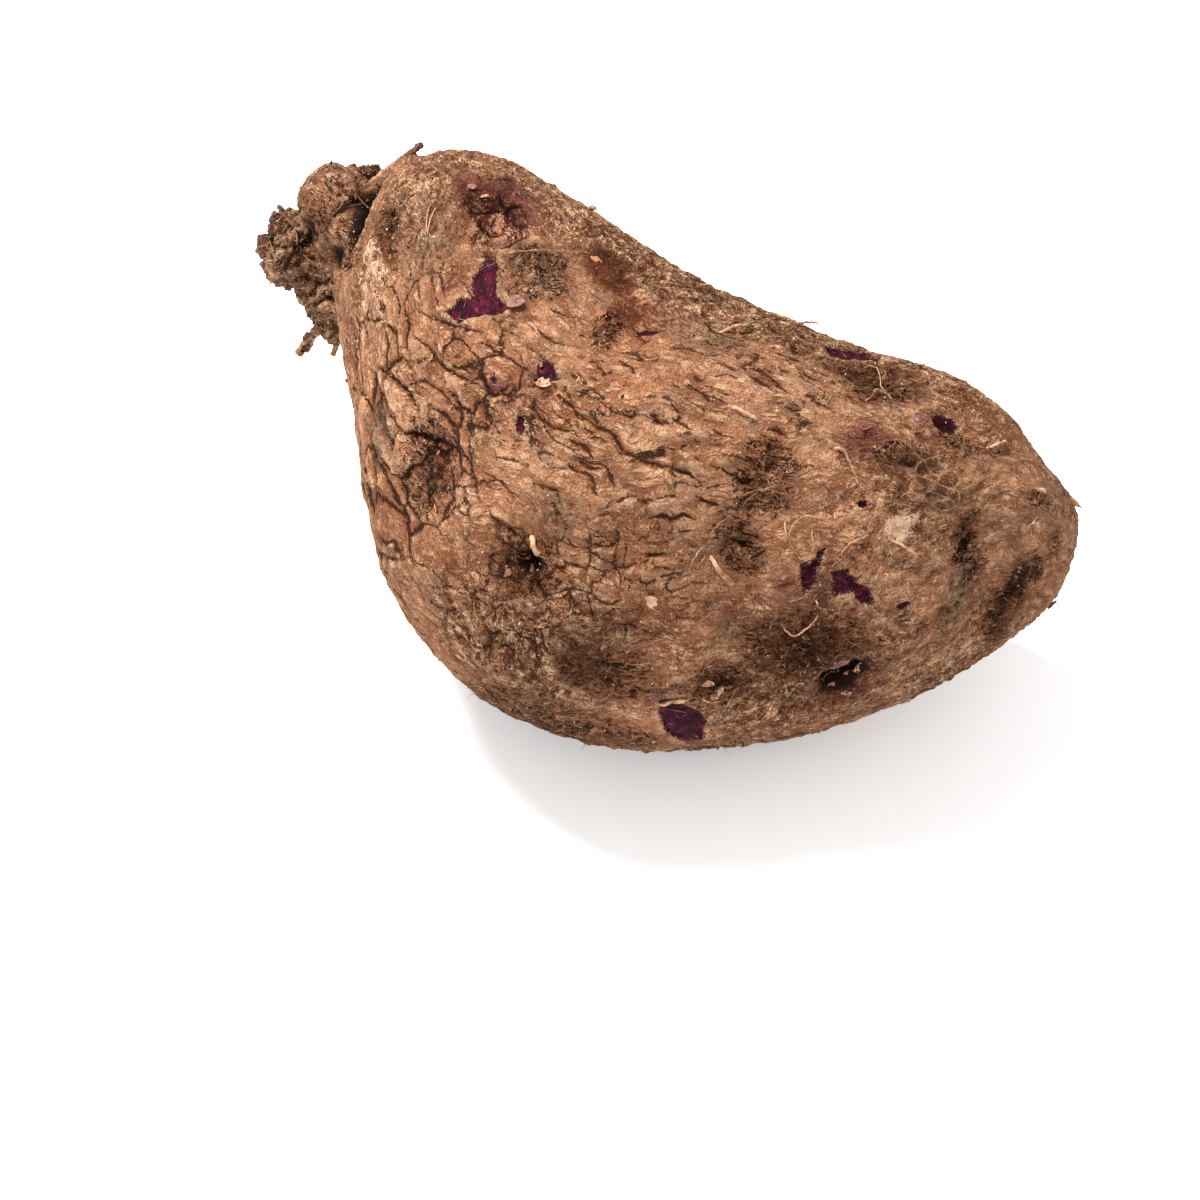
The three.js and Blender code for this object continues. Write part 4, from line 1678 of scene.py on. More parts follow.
@dataclass
class Scatter:
    """Something small and plentiful that lies on the skin, thicker in some places than in others."""

    name: str
    seed: int  # the seed of everything random in it
    elsewhere: float  # how many lie on a square centimetre of plain skin
    on: dict[Mark, float]  # how many more lie on a square centimetre of each mark
    least: float  # the length of the smallest, in millimetres
    most: float  # the length of the largest

    SIZES = ("seed", "elsewhere", "least", "most")
    PER_CM2 = 1e4

    def sizes(self) -> dict[str, Size]:
        """The tree's named inputs."""
        counts = {f"On {mark.value}": count for mark, count in self.on.items()}
        return {**sizes_of(self, *self.SIZES), **counts}

    def build(self, ground: Object, finish: Material) -> Object:
        """Makes the piece.

        Args:
            ground: the finished skin.
            finish: the piece's material.

        Returns:
            The piece.
        """
        draw = Growth(f"{self.name}_growth", self.sizes())
        tree = draw.closed(self.laid(draw, self._seeded(draw)))
        return grown(ground.data.copy(), tree, self.name, {"Finish": finish, **self.sizes()})

    def laid(self, draw: Growth, seeds: Mapping[str, Term]) -> Term:
        """Puts one of the small things on each of the seeded points."""
        raise NotImplementedError

    def _seeded(self, draw: Growth) -> dict[str, Term]:
        """Strews points over the skin, by its marks.

        Args:
            draw: the piece's tree.

        Returns:
            What the node that strews them puts out.
        """
        count = draw.given["Elsewhere"]
        for mark in self.on:
            count = count + draw.mark(mark) * draw.given[f"On {mark.value}"]
        clear = draw.place().parts()[2].ramp(2 * MM, 14 * MM)
        density = draw.highest(count, 0.0) * clear * self.PER_CM2
        feeds = {"Mesh": draw.given["Geometry"], "Density": density, "Seed": draw.given["Seed"]}
        return draw.terms(draw.node("GeometryNodeDistributePointsOnFaces", feeds))

    def strewn(self, draw: Growth, seeds: Mapping[str, Term], shape: Term, tilt: float) -> Term:
        """Copies a shape onto the seeded points, spun at random.

        Args:
            draw: the piece's tree.
            seeds: the points and how they lie.
            shape: what is copied.
            tilt: how far a copy may lean, in radians.

        Returns:
            The copies.
        """
        told = draw.stored(seeds["Points"], "shade", draw.chance(0.0, 1.0, 1))
        turn = seeds["Rotation"]
        for axis, most, number in (((0.0, 0.0, 1.0), math.pi, 2), ((0.0, 1.0, 0.0), tilt, 3)):
            feeds = {"Axis": axis, "Angle": draw.chance(-most, most, number)}
            step = draw.out("FunctionNodeAxisAngleToRotation", feeds)
            feeds = {"Rotation": turn, "Rotate By": step}
            turn = draw.out("FunctionNodeRotateRotation", feeds, rotation_space="LOCAL")
        size = draw.chance(0.0, 1.0, 4) * draw.chance(0.0, 1.0, 5)
        length = draw.blend(size, draw.given["Least"], draw.given["Most"]) * MM
        feeds = {"Points": told, "Instance": shape, "Rotation": turn, "Scale": length}
        copies = draw.out("GeometryNodeInstanceOnPoints", feeds)
        return draw.out("GeometryNodeRealizeInstances", {"Geometry": copies})


@dataclass
class Chips(Scatter):
    """Flakes of dead bark or grains of soil: small, flat or round, angular, and partly stuck in the skin."""

    across: float = 0.7  # how wide each one is, as a share of its length
    flat: float = 0.14  # how thick each one is, as a share of its length
    tilt: float = 0.35  # how far one may lean out of the skin, in radians
    ragged: float = 0.45  # how uneven its outline is, in millimetres
    slot: str = "skin"

    SIZES = (*Scatter.SIZES, "across", "flat", "ragged")

    def laid(self, draw: Growth, seeds: Mapping[str, Term]) -> Term:
        """Puts one chip on each of the seeded points.

        Args:
            draw: the piece's tree.
            seeds: the points and how they lie.

        Returns:
            The chips.
        """
        ball = draw.out("GeometryNodeMeshUVSphere", {"Segments": 7, "Rings": 4, "Radius": 0.5})
        shape = draw.out("ShaderNodeCombineXYZ", {0: 1.0, 1: draw.given["Across"], 2: draw.given["Flat"]})
        chip = draw.out("GeometryNodeTransform", {"Geometry": ball, "Scale": shape})
        copies = self.strewn(draw, seeds, chip, self.tilt)
        return draw.moved(copies, Offset=draw.curled(0.7 * MM, draw.length("Ragged")))


@dataclass
class Hairs(Scatter):
    """Fine roots and torn fibres that lie on the skin and curl off it. Their sizes are in millimetres."""

    width: float = 0.12  # the thickness of one where it grows out
    curl: float = 1.6  # how far one bends from a straight line
    stray: float = 2.2  # how far the loosest stand off the skin
    slot: str = "rootlet"

    SIZES = (*Scatter.SIZES, "width", "curl", "stray")
    STEPS = 9

    def laid(self, draw: Growth, seeds: Mapping[str, Term]) -> Term:
        """Grows one hair from each of the seeded points.

        Args:
            draw: the piece's tree.
            seeds: the points and how they lie.

        Returns:
            The hairs.
        """
        line = draw.out("GeometryNodeCurvePrimitiveLine", {"Start": (0.0, 0.0, 0.0), "End": (1.0, 0.0, 0.0)})
        hair = draw.typed("GeometryNodeResampleCurve", {"Curve": line, "Count": self.STEPS}, mode="COUNT")
        copies = self.strewn(draw, seeds, hair, 0.0)
        share = draw.out("GeometryNodeSplineParameter", {}, "Factor")
        bent = draw.moved(copies, Offset=draw.scaled(draw.curled(3.2 * MM, draw.length("Curl")), share))
        ground = draw.given["Geometry"]
        near = draw.out("GeometryNodeProximity", {0: ground}, "Position", target_element="FACES")
        feeds = {"Mesh": ground, "Value": draw.normal()}
        outward = draw.typed("GeometryNodeSampleNearestSurface", feeds, data_type="FLOAT_VECTOR")
        loose = draw.attribute("shade").ramp(0.6, 1.0)
        lift = draw.length("Width") + loose * share * share * draw.length("Stray")
        laid = draw.moved(bent, Position=draw.vector("ADD", near, draw.scaled(outward, lift)))
        return draw.rods(laid, draw.length("Width") * share.ramp(0.3, 1.0, 1.0, 0.45), 3)


def band(outer: int, inner: int, count: int) -> list[tuple[int, ...]]:
    """The faces between two rings of some count of points, from the number of each ring's first point."""
    steps = [(number, (number + 1) % count) for number in range(count)]
    return [(outer + here, outer + after, inner + after, inner + here) for here, after in steps]


def solid_piece(
    name: str, points: Sequence[Any], faces: Sequence[Any], shades: Sequence[float], finish: Material
) -> Object:
    """One closed piece, smooth shaded, with its faces pointing outwards.

    Args:
        name: the piece's name.
        points: its points, in metres.
        faces: its faces, each as the numbers of its points.
        shades: how dark it is at each point, from 0 to 1.
        finish: its material.

    Returns:
        The piece.
    """
    mesh = bpy.data.meshes.new(name)
    mesh.from_pydata(points, [], faces)
    mesh.attributes.new("shade", "FLOAT", "POINT").data.foreach_set("value", shades)
    solid = bmesh.new()
    solid.from_mesh(mesh)
    bmesh.ops.recalc_face_normals(solid, faces=solid.faces)
    solid.to_mesh(mesh)
    solid.free()
    mesh.materials.append(finish)
    mesh.polygons.foreach_set("use_smooth", [True] * len(mesh.polygons))
    return linked(name, mesh)


@dataclass(frozen=True)
class Wart:
    """A round root scar: a raised ring with a knob in its middle. Its sizes are in millimetres."""

    place: Place
    size: float  # half its width
    height: float = 0.45  # how far its ring stands off the skin


@dataclass
class RootScars:
    """The round scars where roots have dropped off, as one piece."""

    warts: tuple[Wart, ...]
    sides: int = 18  # how many sides each ring has
    uneven: float = 0.16  # how uneven each ring is, as a share
    name: str = "root_scars"
    slot: str = "skin"

    # each ring's share of the size and of the height, and its shade, from the skirt inwards
    # the shades are painted shade: darkest in the sunken groove, lighter on the raised rings and the knob
    RINGS = (
        (1.35, -2.4, 0.6), (1.12, -0.5, 0.7), (1.0, 0.3, 0.5), (0.86, 0.4, 0.45), (0.68, -0.5, 1.0),
        (0.52, -0.7, 1.0), (0.4, 0.1, 0.55), (0.18, 0.4, 0.4),
    )

    def build(self, skin: Skin, finish: Material) -> Object:
        """Makes the scars.

        Args:
            skin: the finished skin.
            finish: their material.

        Returns:
            The piece.
        """
        random = np.random.default_rng(11)
        points, faces, shades = [], [], []
        for wart in self.warts:
            faces += self._rings(len(points))
            axes, home = skin.axes(wart.place), skin.above(wart.place)
            for share, rise, shade in self.RINGS:
                for angle in 2 * math.pi * np.arange(self.sides) / self.sides:
                    reach = wart.size * share * (1 + self.uneven * random.uniform(-1, 1))
                    rise_here = wart.height * (rise + self.uneven * random.uniform(-1, 1))
                    local = np.array([reach * math.cos(angle), reach * math.sin(angle), rise_here])
                    points.append((home + local @ axes) * MM)
                    shades.append(shade)
        return solid_piece(self.name, points, faces, shades, finish)

    def _rings(self, first: int) -> list[tuple[int, ...]]:
        """Lists the faces of one scar.

        Args:
            first: the number of its first point.

        Returns:
            The faces of its bands, its top and its underside.
        """
        starts = [first + ring * self.sides for ring in range(len(self.RINGS))]
        bands = [face for low, high in zip(starts[:-1], starts[1:]) for face in band(low, high, self.sides)]
        top = tuple(range(starts[-1], starts[-1] + self.sides))
        return [*bands, top, tuple(range(first, first + self.sides))[::-1]]


@dataclass(frozen=True)
class Flake:
    """One thin flake that has come loose from the skin. Its sizes are in millimetres."""

    place: Place  # where its middle is
    corners: tuple[tuple[float, float], ...]  # its outline, lengthwise and crosswise of its place
    lift: float = 0.3  # how far its middle stands off the skin
    curl: float = 0.4  # how far its edge stands above its middle
    lean: float = 0.0  # how much higher it is for each millimetre lengthwise
    turn: float = 0.0  # degrees that it is turned from the yam's length


@dataclass
class Flakes:
    """Loose flakes laid one by one, as one piece. Its sizes are in millimetres."""

    name: str
    flakes: tuple[Flake, ...]
    split: int = 4  # how many steps each side of an outline is drawn in
    ragged: float = 0.22  # how uneven an outline is
    thickness: float = 0.22  # how thick a flake is
    slot: str = "skin"

    SHARES = (1.0, 0.8, 0.5, 0.2)  # how large each ring of points is, from the rim inwards

    def build(self, skin: Skin, finish: Material) -> Object:
        """Makes the flakes.

        Args:
            skin: the finished skin.
            finish: their material.

        Returns:
            The piece.
        """
        random = np.random.default_rng(5)
        points, faces, shades = [], [], []
        for flake in self.flakes:
            outline = self._outline(flake, random)
            faces += self._shell(len(points), len(outline))
            for side in (1, -1):
                for share in self.SHARES:
                    spread = outline * share
                    rise = flake.lift + flake.curl * share**2 + flake.lean * spread[:, 0]
                    rise = rise + side * self.thickness / 2 * (1.02 - share**4)
                    rise = rise + random.uniform(-0.08, 0.08, len(outline)) * (1 - share**4)
                    local = np.column_stack([spread, rise])
                    placed = skin.above(flake.place) + local @ skin.axes(flake.place)
                    points += (placed * MM).tolist()
                    shades += (0.25 + 0.5 * random.random(len(outline)) - 0.2 * share).tolist()
        return solid_piece(self.name, points, faces, shades, finish)

    def _outline(self, flake: Flake, random: np.random.Generator) -> np.ndarray:
        """Draws a flake's ragged outline.

        Args:
            flake: the flake.
            random: what makes it ragged.

        Returns:
            Its points, turned as it lies.
        """
        corners = np.array(flake.corners)
        shares = np.arange(self.split)[:, None] / self.split
        sides = [start + (end - start) * shares for start, end in zip(corners, np.roll(corners, -1, axis=0))]
        outline = np.concatenate(sides)
        outline = outline + random.uniform(-self.ragged, self.ragged, outline.shape)
        cos, sin = math.cos(math.radians(flake.turn)), math.sin(math.radians(flake.turn))
        return outline @ np.array([[cos, sin], [-sin, cos]])

    def _shell(self, first: int, count: int) -> list[tuple[int, ...]]:
        """Lists the faces of one flake.

        Args:
            first: the number of its first point.
            count: how many points its outline has.

        Returns:
            The faces of its two sides and its rim.
        """
        rings = len(self.SHARES)
        faces = []
        for side, way in ((0, 1), (1, -1)):
            starts = [first + (side * rings + ring) * count for ring in range(rings)]
            for outer, inner in zip(starts[:-1], starts[1:]):
                faces += [face[::way] for face in band(outer, inner, count)]
            faces.append(tuple(range(starts[-1], starts[-1] + count))[::way])
        return [*faces, *band(first + rings * count, first, count)]


def dry_grain() -> NodeTree:
    """The shared effect of dry plant matter: a mottle between two colours, and a grain to feel.

    Returns:
        A shader group. Shade pushes it towards the light colour at 0 and the dark one at 1.
    """
    inputs = {"Light": "Color", "Dark": "Color", "Size": "Float", "Shade": "Float"}
    draw, given = group_sketch("dry_grain", TreeKind.SHADER, inputs)
    place = draw.out("ShaderNodeTexCoord", {}, "Object")
    place = draw.scaled(place, draw.math("DIVIDE", 1 / MM, given["Size"]))
    grain = draw.cloud(place, 1.0, 3, 0.6)
    mixed = grain.centred(1.6) + draw.cloud(place, 4.0, 1, 0.5).centred(0.8) + given["Shade"]
    draw.put_out({"Color": draw.tint(mixed.ramp(0.1, 0.9), given["Light"], given["Dark"]), "Height": grain})
    return draw.tree


@dataclass(frozen=True)
class DryFinish:
    """Dry root, bark or soil."""

    name: str
    light: Colour
    dark: Colour
    size: float = 0.5  # the size of its grain, in millimetres
    relief: float = 0.2  # how deep the grain is, in millimetres
    roughness: float = 0.85  # how matt it is

    def material(self, grain: NodeTree) -> Material:
        """Draws the material round the shared grain.

        Args:
            grain: the shared group.

        Returns:
            The material.
        """
        made, draw, shader = blank_material(self.name)
        feeds = {"Light": self.light, "Dark": self.dark, "Size": self.size, "Shade": draw.attribute("shade")}
        look = draw.terms(draw.node(TreeKind.SHADER.group, feeds, node_tree=grain))
        draw.feed(shader.inputs["Base Color"], look["Color"])
        draw.bump(shader, look["Height"], self.relief * MM)
        shader.inputs["Roughness"].default_value = self.roughness
        shader.inputs["Specular IOR Level"].default_value = 0.2
        return made


def threads(*rows: tuple[Any, ...]) -> tuple[Thread, ...]:
    """Several roots: each one's thick, thin, hump and rise, then the along and angle of its places."""
    return tuple(Thread(*row[:4], places(*row[4:])) for row in rows)


def placed(kind: type, *rows: tuple[Any, ...]) -> tuple[Any, ...]:
    """Several scars or flakes: each one's along and angle, then the rest of its fields in order."""
    return tuple(kind(Place(row[0], row[1]), *row[2:]) for row in rows)


ROOT_WOOD = DryFinish("dry_root", srgb(194, 152, 122), srgb(122, 86, 62), size=1.2, relief=0.12)
HAIR_WOOD = DryFinish("fine_root", srgb(182, 138, 102), srgb(96, 64, 42), size=0.8, relief=0.05)
STALK_WOOD = DryFinish("old_stalk", srgb(170, 130, 98), srgb(74, 50, 35), size=0.7, relief=0.3)
BARK_CHIP = DryFinish("bark_chip", srgb(140, 98, 68), srgb(48, 30, 20), size=0.7)
SOIL_GRAIN = DryFinish("soil_grain", srgb(150, 118, 88), srgb(38, 26, 17), size=0.6)
SAND_GRAIN = DryFinish("sand_grain", srgb(220, 200, 178), srgb(166, 138, 112), size=0.4, relief=0.05)
SCAR_BARK = DryFinish("scar_bark", srgb(160, 110, 76), srgb(40, 24, 15), size=0.45, relief=0.4)
LILAC_SKIN = DryFinish("lilac_skin", srgb(138, 98, 82), srgb(66, 20, 42), size=0.35)

STOUT_ROOTS = threads(
    (0.7, 1.2, 0.8, 0.9, (0.734, 141), (0.739, 144), (0.746, 146), (0.757, 148)),
    (1.1, 0.9, 0.8, 0.8, (0.575, 146), (0.584, 148), (0.589, 149)),
    (0.7, 0.45, 0.7, 0.6, (0.793, 106), (0.799, 106), (0.805, 107), (0.817, 111), (0.828, 115)),
    (0.9, 0.6, 0.5, 0.3, (0.700, 102), (0.708, 103), (0.722, 104)),
    (0.6, 0.5, 0.7, 0.4, (0.644, 79), (0.653, 76), (0.662, 72)),
    (0.5, 0.4, 0.5, 0.3, (0.871, 130), (0.885, 132), (0.897, 135)),
    (0.6, 0.4, 0.6, 0.4, (0.907, 81), (0.911, 78), (0.915, 74)),
    (0.7, 0.5, 0.6, 0.3, (0.957, 94), (0.961, 94), (0.965, 93)),
    (0.4, 0.3, 0.5, 0.3, (0.748, 184), (0.755, 187), (0.763, 187)),
    (0.6, 0.4, 0.6, 1.6, (0.680, 60), (0.692, 58), (0.700, 56)),
    (1.2, 0.8, 0.6, 0.8, (0.35, 30), (0.365, 33), (0.38, 38)),
    (1.4, 1.0, 0.6, 0.9, (0.72, 345), (0.731, 342), (0.74, 340)),
    (0.9, 0.6, 0.6, 0.3, (0.55, 255), (0.563, 258), (0.575, 263), (0.59, 266)),
    (0.8, 0.5, 0.7, 0.5, (0.44, 345), (0.452, 349), (0.46, 355), (0.475, 358)),
)

WIRY_ROOTS = threads(
    (0.36, 0.3, 0.5, 0.1, (0.278, 147), (0.279, 141), (0.286, 135), (0.309, 130), (0.326, 129)),
    (0.3, 0.2, 0.8, 0.2, (0.764, 65), (0.777, 67), (0.790, 72), (0.810, 79)),
    (0.25, 0.2, 0.6, 0.2, (0.791, 83), (0.791, 80), (0.791, 77), (0.805, 77)),
    (0.4, 0.25, 0.5, 0.2, (0.896, 99), (0.900, 102), (0.905, 105)),
    (0.4, 0.25, 0.5, 0.3, (0.840, 137), (0.844, 133), (0.855, 130)),
    (0.4, 0.25, 0.5, 0.3, (0.832, 150), (0.836, 152), (0.840, 153)),
    (0.3, 0.2, 0.4, 0.3, (0.737, 126), (0.744, 123), (0.756, 121)),
    (0.3, 0.2, 0.5, 0.3, (0.446, 153), (0.461, 154), (0.474, 156)),
    (0.22, 0.15, 0.6, 0.2, (0.397, 91), (0.424, 86), (0.446, 82), (0.469, 75)),
    (0.3, 0.2, 0.5, 0.1, (0.263, 93), (0.274, 98), (0.288, 103)),
    (0.3, 0.2, 0.5, 0.1, (0.276, 92), (0.284, 98), (0.292, 103)),
    (0.35, 0.22, 0.5, 0.3, (0.782, 129), (0.791, 134), (0.808, 139)),
    (0.3, 0.2, 0.5, 0.3, (0.808, 130), (0.812, 133), (0.823, 136)),
    (0.3, 0.2, 0.5, 0.4, (0.795, 136), (0.790, 131), (0.797, 127), (0.812, 127)),
    (0.4, 0.28, 0.5, 0.4, (0.809, 158), (0.819, 161), (0.831, 159), (0.838, 155)),
    (0.35, 0.2, 0.6, 0.5, (0.728, 139), (0.722, 143), (0.724, 148), (0.732, 150)),
    (0.3, 0.2, 0.5, 0.4, (0.730, 139), (0.729, 134), (0.737, 130)),
    (0.3, 0.18, 0.5, 0.3, (0.732, 141), (0.726, 146), (0.717, 150)),
    (0.35, 0.2, 0.5, 0.4, (0.776, 184), (0.768, 191), (0.758, 195)),
    (0.3, 0.15, 0.4, 4.5, (0.790, 58), (0.805, 55), (0.822, 53), (0.845, 50)),
    (0.25, 0.15, 0.4, 2.4, (0.843, 61), (0.852, 59), (0.864, 57)),
    (0.3, 0.2, 0.5, 0.2, (0.62, 250), (0.64, 256), (0.66, 255), (0.68, 262)),
    (0.3, 0.2, 0.5, 0.3, (0.40, 20), (0.43, 24), (0.45, 22), (0.48, 28)),
    (0.3, 0.2, 0.5, 0.4, (0.82, 310), (0.83, 318), (0.85, 320)),
    (0.35, 0.2, 0.5, 0.5, (0.66, 20), (0.68, 15), (0.70, 18), (0.71, 25)),
)

STALKS = (
    Twig(2.6, 2.1, ((-68.0, 24.2, 39.0), (-73.4, 22.4, 39.0), (-77.4, 19.6, 36.4), (-81.6, 17.2, 29.6))),
    Twig(1.6, 1.2, ((-72.5, 24.5, 34.5), (-74.5, 22.5, 32.5), (-75.0, 20.5, 29.5))),
    Twig(2.3, 1.3, ((-71.5, 27.4, 67.0), (-65.9, 30.7, 74.0), (-62.4, 31.4, 77.9), (-57.6, 33.2, 83.0))),
    Twig(1.5, 1.0, ((-78.9, 20.4, 57.0), (-81.5, 19.6, 62.7), (-84.0, 18.2, 67.6))),
)

WARTS = placed(
    Wart,
    (0.341, 105, 1.9), (0.607, 95, 1.7), (0.529, 129, 1.3), (0.624, 112, 1.1, 0.3), (0.913, 80, 1.5),
    (0.688, 136, 0.9, 0.8), (0.989, 122, 1.3, 0.6), (0.699, 152, 0.8, 0.7), (0.186, 132, 2.1, 1.5),
    (0.267, 109, 1.8, 0.35), (0.264, 93, 2.0, 0.25), (0.240, 99, 1.8, 0.3), (0.446, 96, 1.5, 0.3),
    (0.833, 177, 1.0, 0.9), (0.814, 185, 1.1, 0.9), (0.810, 191, 1.0, 0.8), (0.30, 350, 1.7),
    (0.47, 318, 1.4), (0.64, 225, 1.6), (0.80, 20, 1.5), (0.90, 245, 1.3),
)

PALE_FLAKES = placed(
    Flake,
    (0.967, 117, ((0.0, 1.7), (0.6, 1.0), (1.8, -0.8), (1.3, -1.1), (0.6, 0.0), (0.4, -1.7), (-0.1, -1.6),
                  (-0.1, 0.0), (-1.2, -1.5), (-1.6, -1.1), (-0.6, 1.0)), 0.5, 0.7),
    (0.534, 115, ((1.6, 0.2), (0.6, 1.1), (-1.2, 0.9), (-1.7, -0.3), (0.2, -0.9)), 0.4, 0.5, 0.2),
    (0.754, 178, ((0.9, 0.2), (0.2, 1.5), (-0.8, 0.8), (-1.2, -0.7), (0.3, -0.6)), 0.6, 0.9, 0.5),
    (0.761, 181, ((1.4, 0.3), (0.3, 0.8), (-0.7, 0.5), (-0.4, -1.1), (0.7, -0.8)), 0.8, 0.9, -0.4),
    (0.757, 184, ((0.6, 0.3), (-0.2, 0.9), (-1.0, -0.2), (0.1, -1.2)), 0.5, 1.0, 0.3),
    (0.868, 194, ((1.4, 0.3), (0.1, 1.3), (-1.3, 0.4), (-0.6, -0.9), (0.7, -0.7)), -0.6, 1.1, 0.4),
    (0.873, 190, ((1.0, 0.6), (-0.3, 1.4), (-0.9, -0.2), (0.2, -1.2)), 0.2, 0.8, -0.3),
    (0.862, 198, ((1.3, 0.1), (0.1, 0.7), (-1.2, 0.2), (-0.1, -0.6)), 0.0, 0.7, 0.2),
    (0.327, 81, ((0.9, 0.1), (0.1, 0.7), (-0.8, 0.3), (-0.2, -0.7)), 0.3, 0.3),
    (0.700, 154, ((1.2, 0.4), (0.1, 1.4), (-1.1, 0.5), (-0.8, -1.0), (0.6, -1.1)), 0.7, 0.6, 0.2),
    (0.728, 185, ((3.3, 0.1), (0.8, 0.5), (-2.4, 0.3), (-3.2, -0.2), (-0.8, -0.4), (2.0, -0.3)), 0.4, 0.4),
)

BARK_FLAKES = placed(
    Flake,
    (0.913, 166, ((2.4, 0.3), (1.0, 1.1), (-1.0, 0.9), (-2.3, 0.1), (-0.6, -0.6), (1.2, -0.5)), 0.6, 1.2),
    (0.983, 70, ((1.6, 0.3), (0.3, 1.0), (-1.5, 0.5), (-1.2, -0.7), (0.8, -0.8)), 0.7, 0.9, 0.5),
    (0.988, 262, ((1.5, 0.3), (0.2, 1.3), (-1.3, 0.5), (-1.0, -0.9), (0.9, -0.9)), 0.1, 0.5, 0.1),
)

LILAC_FLAKES = placed(
    Flake,
    (0.452, 102, ((2.0, 0.6), (0.9, 1.7), (-1.2, 1.5), (-1.9, -0.3), (-0.6, -1.6), (1.3, -1.2)), 0.7, 0.5),
    (0.390, 102, ((1.5, 0.5), (0.1, 0.4), (-1.3, 0.2), (-0.2, -0.5)), -0.4, 0.3, 0.0, 40),
    (0.421, 107, ((1.4, 0.3), (0.1, 0.5), (-1.3, 0.0), (0.0, -0.5)), -0.4, 0.3, 0.0, 50),
    (0.304, 82, ((1.1, 0.3), (0.1, 0.9), (-1.1, 0.3), (-0.4, -0.8), (0.7, -0.6)), 0.4, 0.4),
    (0.857, 183, ((2.6, 0.1), (1.4, 1.5), (-0.9, 1.6), (-2.6, 0.3), (-1.3, -1.2), (1.0, -1.0)),
     0.2, 1.1, 0.1),
    (0.853, 195, ((1.0, 0.2), (0.2, 0.9), (-0.8, 0.5), (-0.7, -0.6), (0.4, -0.8)), 0.1, 0.6),
    (0.717, 182, ((3.0, 0.2), (1.2, 0.9), (-1.6, 1.0), (-2.9, 0.1), (-1.0, -0.7), (1.8, -0.6)),
     0.5, 0.7, 0.1),
)

LAID_WORK = (
    (Roots("stout_roots", STOUT_ROOTS), ROOT_WOOD),
    (Roots("wiry_roots", WIRY_ROOTS, sides=5, knobbly=0.7), HAIR_WOOD),
    (Roots("crown_stalks", STALKS, sides=9), STALK_WOOD),
    (RootScars(WARTS), SCAR_BARK),
    (Flakes("pale_flakes", PALE_FLAKES, ragged=0.35), ROOT_WOOD),
    (Flakes("bark_flakes", BARK_FLAKES), BARK_CHIP),
    (Flakes("lilac_flakes", LILAC_FLAKES, slot="flesh"), LILAC_SKIN),
)

CRUMBS = {"across": 0.8, "tilt": 0.8}

SCATTERED_WORK = (
    (
        Chips(
            "bark_chips", 21, 0.8, {Mark.CROWN: 12.0, Mark.PLATES: 2.5, Mark.AGED: 4.0, Mark.SOIL: 3.0},
            0.7, 3.0, across=0.5, flat=0.1,
        ),
        BARK_CHIP,
    ),
    (
        Chips(
            "soil_grains", 22, 0.4, {Mark.SOIL: 16.0, Mark.CROWN: 6.0, Mark.HOLLOW: 4.0},
            0.15, 0.55, flat=0.5, ragged=0.25, **CRUMBS,
        ),
        SOIL_GRAIN,
    ),
    (
        Chips(
            "sand_grains", 25, 0.5, {Mark.SOIL: 5.0, Mark.HOLLOW: 3.0, Mark.CROWN: 2.0},
            0.2, 0.5, flat=0.7, ragged=0.1, **CRUMBS,
        ),
        SAND_GRAIN,
    ),
    (
        Hairs("fine_hairs", 23, 0.6, {Mark.FUZZ: 8.0, Mark.SOIL: 3.0, Mark.AGED: 1.0}, 1.0, 6.0, width=0.1),
        HAIR_WOOD,
    ),
    (
        Hairs("crown_fibres", 24, 0.0, {Mark.CROWN: 14.0}, 2.0, 8.0, width=0.24, curl=1.6, stray=1.4),
        STALK_WOOD,
    ),
)


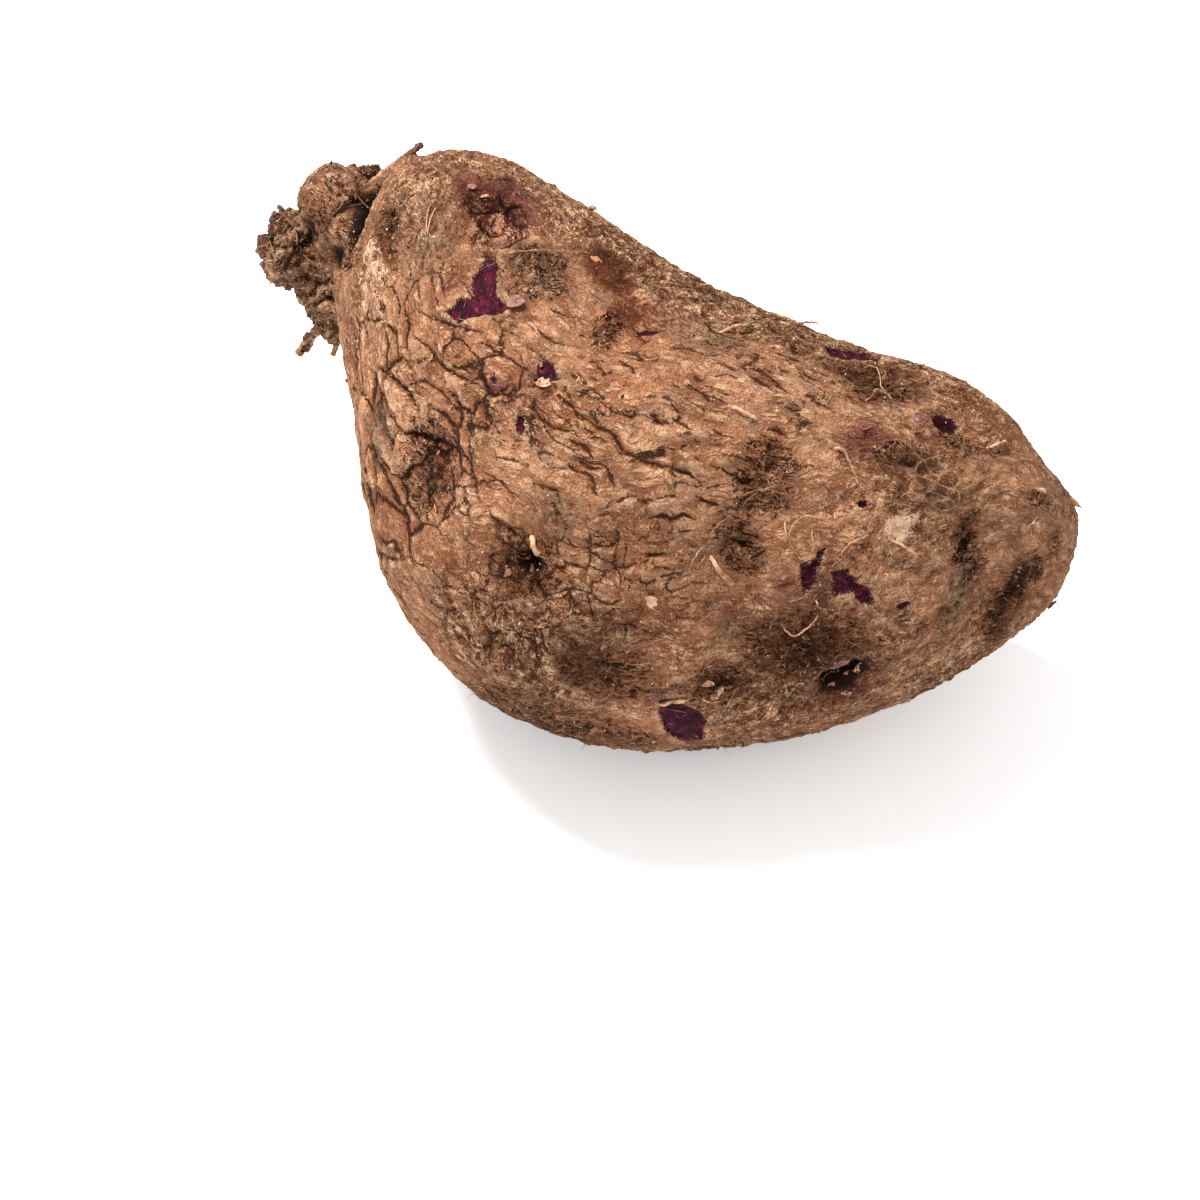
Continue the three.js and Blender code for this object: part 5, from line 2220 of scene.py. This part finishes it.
@dataclass
class Studio:
    """A plain pale floor, soft light and the camera."""

    azimuth: float = 30.0  # degrees that the camera stands round from -Y towards +X
    elevation: float = 45.0  # degrees that it looks down
    distance: float = 0.596  # metres from the camera to what it looks at
    target: tuple[float, float, float] = (-0.0019, 0.0088, 0.0017)  # what it looks at, in metres
    lens: float = 85.0  # its focal length in millimetres, on a sensor 36 wide
    floor_size: float = 6.0  # in metres
    floor_glow: float = 0.28  # how much light the white floor gives of its own
    daylight: float = 0.85  # how strong the even light is

    def build(self) -> None:
        """Makes the floor, the lights and the camera."""
        self._floor()
        self._sky()
        self._lamp("key_light", (-0.42, 0.05, 1.0), 0.35, 26.0)
        self._lamp("fill_light", (0.5, -0.9, 0.7), 1.2, 4.0)
        self._camera()
        bpy.context.scene.view_settings.view_transform = "Standard"

    def _floor(self) -> None:
        """The floor, which isn't part of the yam."""
        half = self.floor_size / 2
        corners = [(-half, -half, 0), (half, -half, 0), (half, half, 0), (-half, half, 0)]
        mesh = bpy.data.meshes.new("floor")
        mesh.from_pydata(corners, [], [(0, 1, 2, 3)])
        finish, _, shader = blank_material("floor_white")
        shader.inputs["Base Color"].default_value = (0.9, 0.9, 0.9, 1.0)
        shader.inputs["Emission Color"].default_value = (1.0, 1.0, 1.0, 1.0)
        shader.inputs["Emission Strength"].default_value = self.floor_glow
        shader.inputs["Roughness"].default_value = 0.9
        mesh.materials.append(finish)
        linked("floor", mesh)

    def _sky(self) -> None:
        """The even light of a white room."""
        world = bpy.data.worlds.new("white_room")
        world.use_nodes = True
        shade = world.node_tree.nodes["Background"]
        shade.inputs["Color"].default_value = (1.0, 1.0, 1.0, 1.0)
        shade.inputs["Strength"].default_value = self.daylight
        bpy.context.scene.world = world

    def _lamp(self, name: str, place: tuple[float, float, float], size: float, power: float) -> None:
        """A square soft lamp that faces the yam.

        Args:
            name: the lamp's name.
            place: where it hangs, in metres.
            size: the length of its side, in metres.
            power: its power in watts.
        """
        light = bpy.data.lights.new(name, "AREA")
        light.size = size
        light.energy = power
        lamp = linked(name, light)
        lamp.location = place
        lamp.rotation_euler = (-Vector(place)).to_track_quat("-Z", "Y").to_euler()

    def _camera(self) -> None:
        """The camera, from which the yam is usually seen."""
        turn, rise = math.radians(self.azimuth), math.radians(self.elevation)
        back = Vector((math.sin(turn) * math.cos(rise), -math.cos(turn) * math.cos(rise), math.sin(rise)))
        view = bpy.data.cameras.new("camera")
        view.lens = self.lens
        view.sensor_width = 36.0
        camera = linked("camera", view)
        camera.location = Vector(self.target) + back * self.distance
        camera.rotation_euler = back.to_track_quat("Z", "Y").to_euler()
        bpy.context.scene.camera = camera


def fitted(piece: Object) -> None:
    """Lets a piece ride with the yam, and reports it.

    Args:
        piece: the piece's object.
    """
    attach(piece, BODY)
    LOG.info("%s: %d faces", piece.name, len(piece.data.polygons))


def main() -> None:
    """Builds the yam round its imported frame."""
    logging.basicConfig(level=logging.INFO, format="%(message)s")
    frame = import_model()
    Studio().build()
    bark = BarkPattern()
    tuber = Tuber(bark, SkinMap())
    skin, surface = tuber.build(frame["nodes"][TUBER_NODE], SkinFinish().material(bark, tuber.torn))
    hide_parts(TUBER_NODE)
    fitted(skin)
    grain = dry_grain()
    for work, finish in LAID_WORK:
        fitted(work.build(surface, finish.material(grain)))
    for work, finish in SCATTERED_WORK:
        fitted(work.build(skin, finish.material(grain)))


if __name__ == "__main__":
    main()
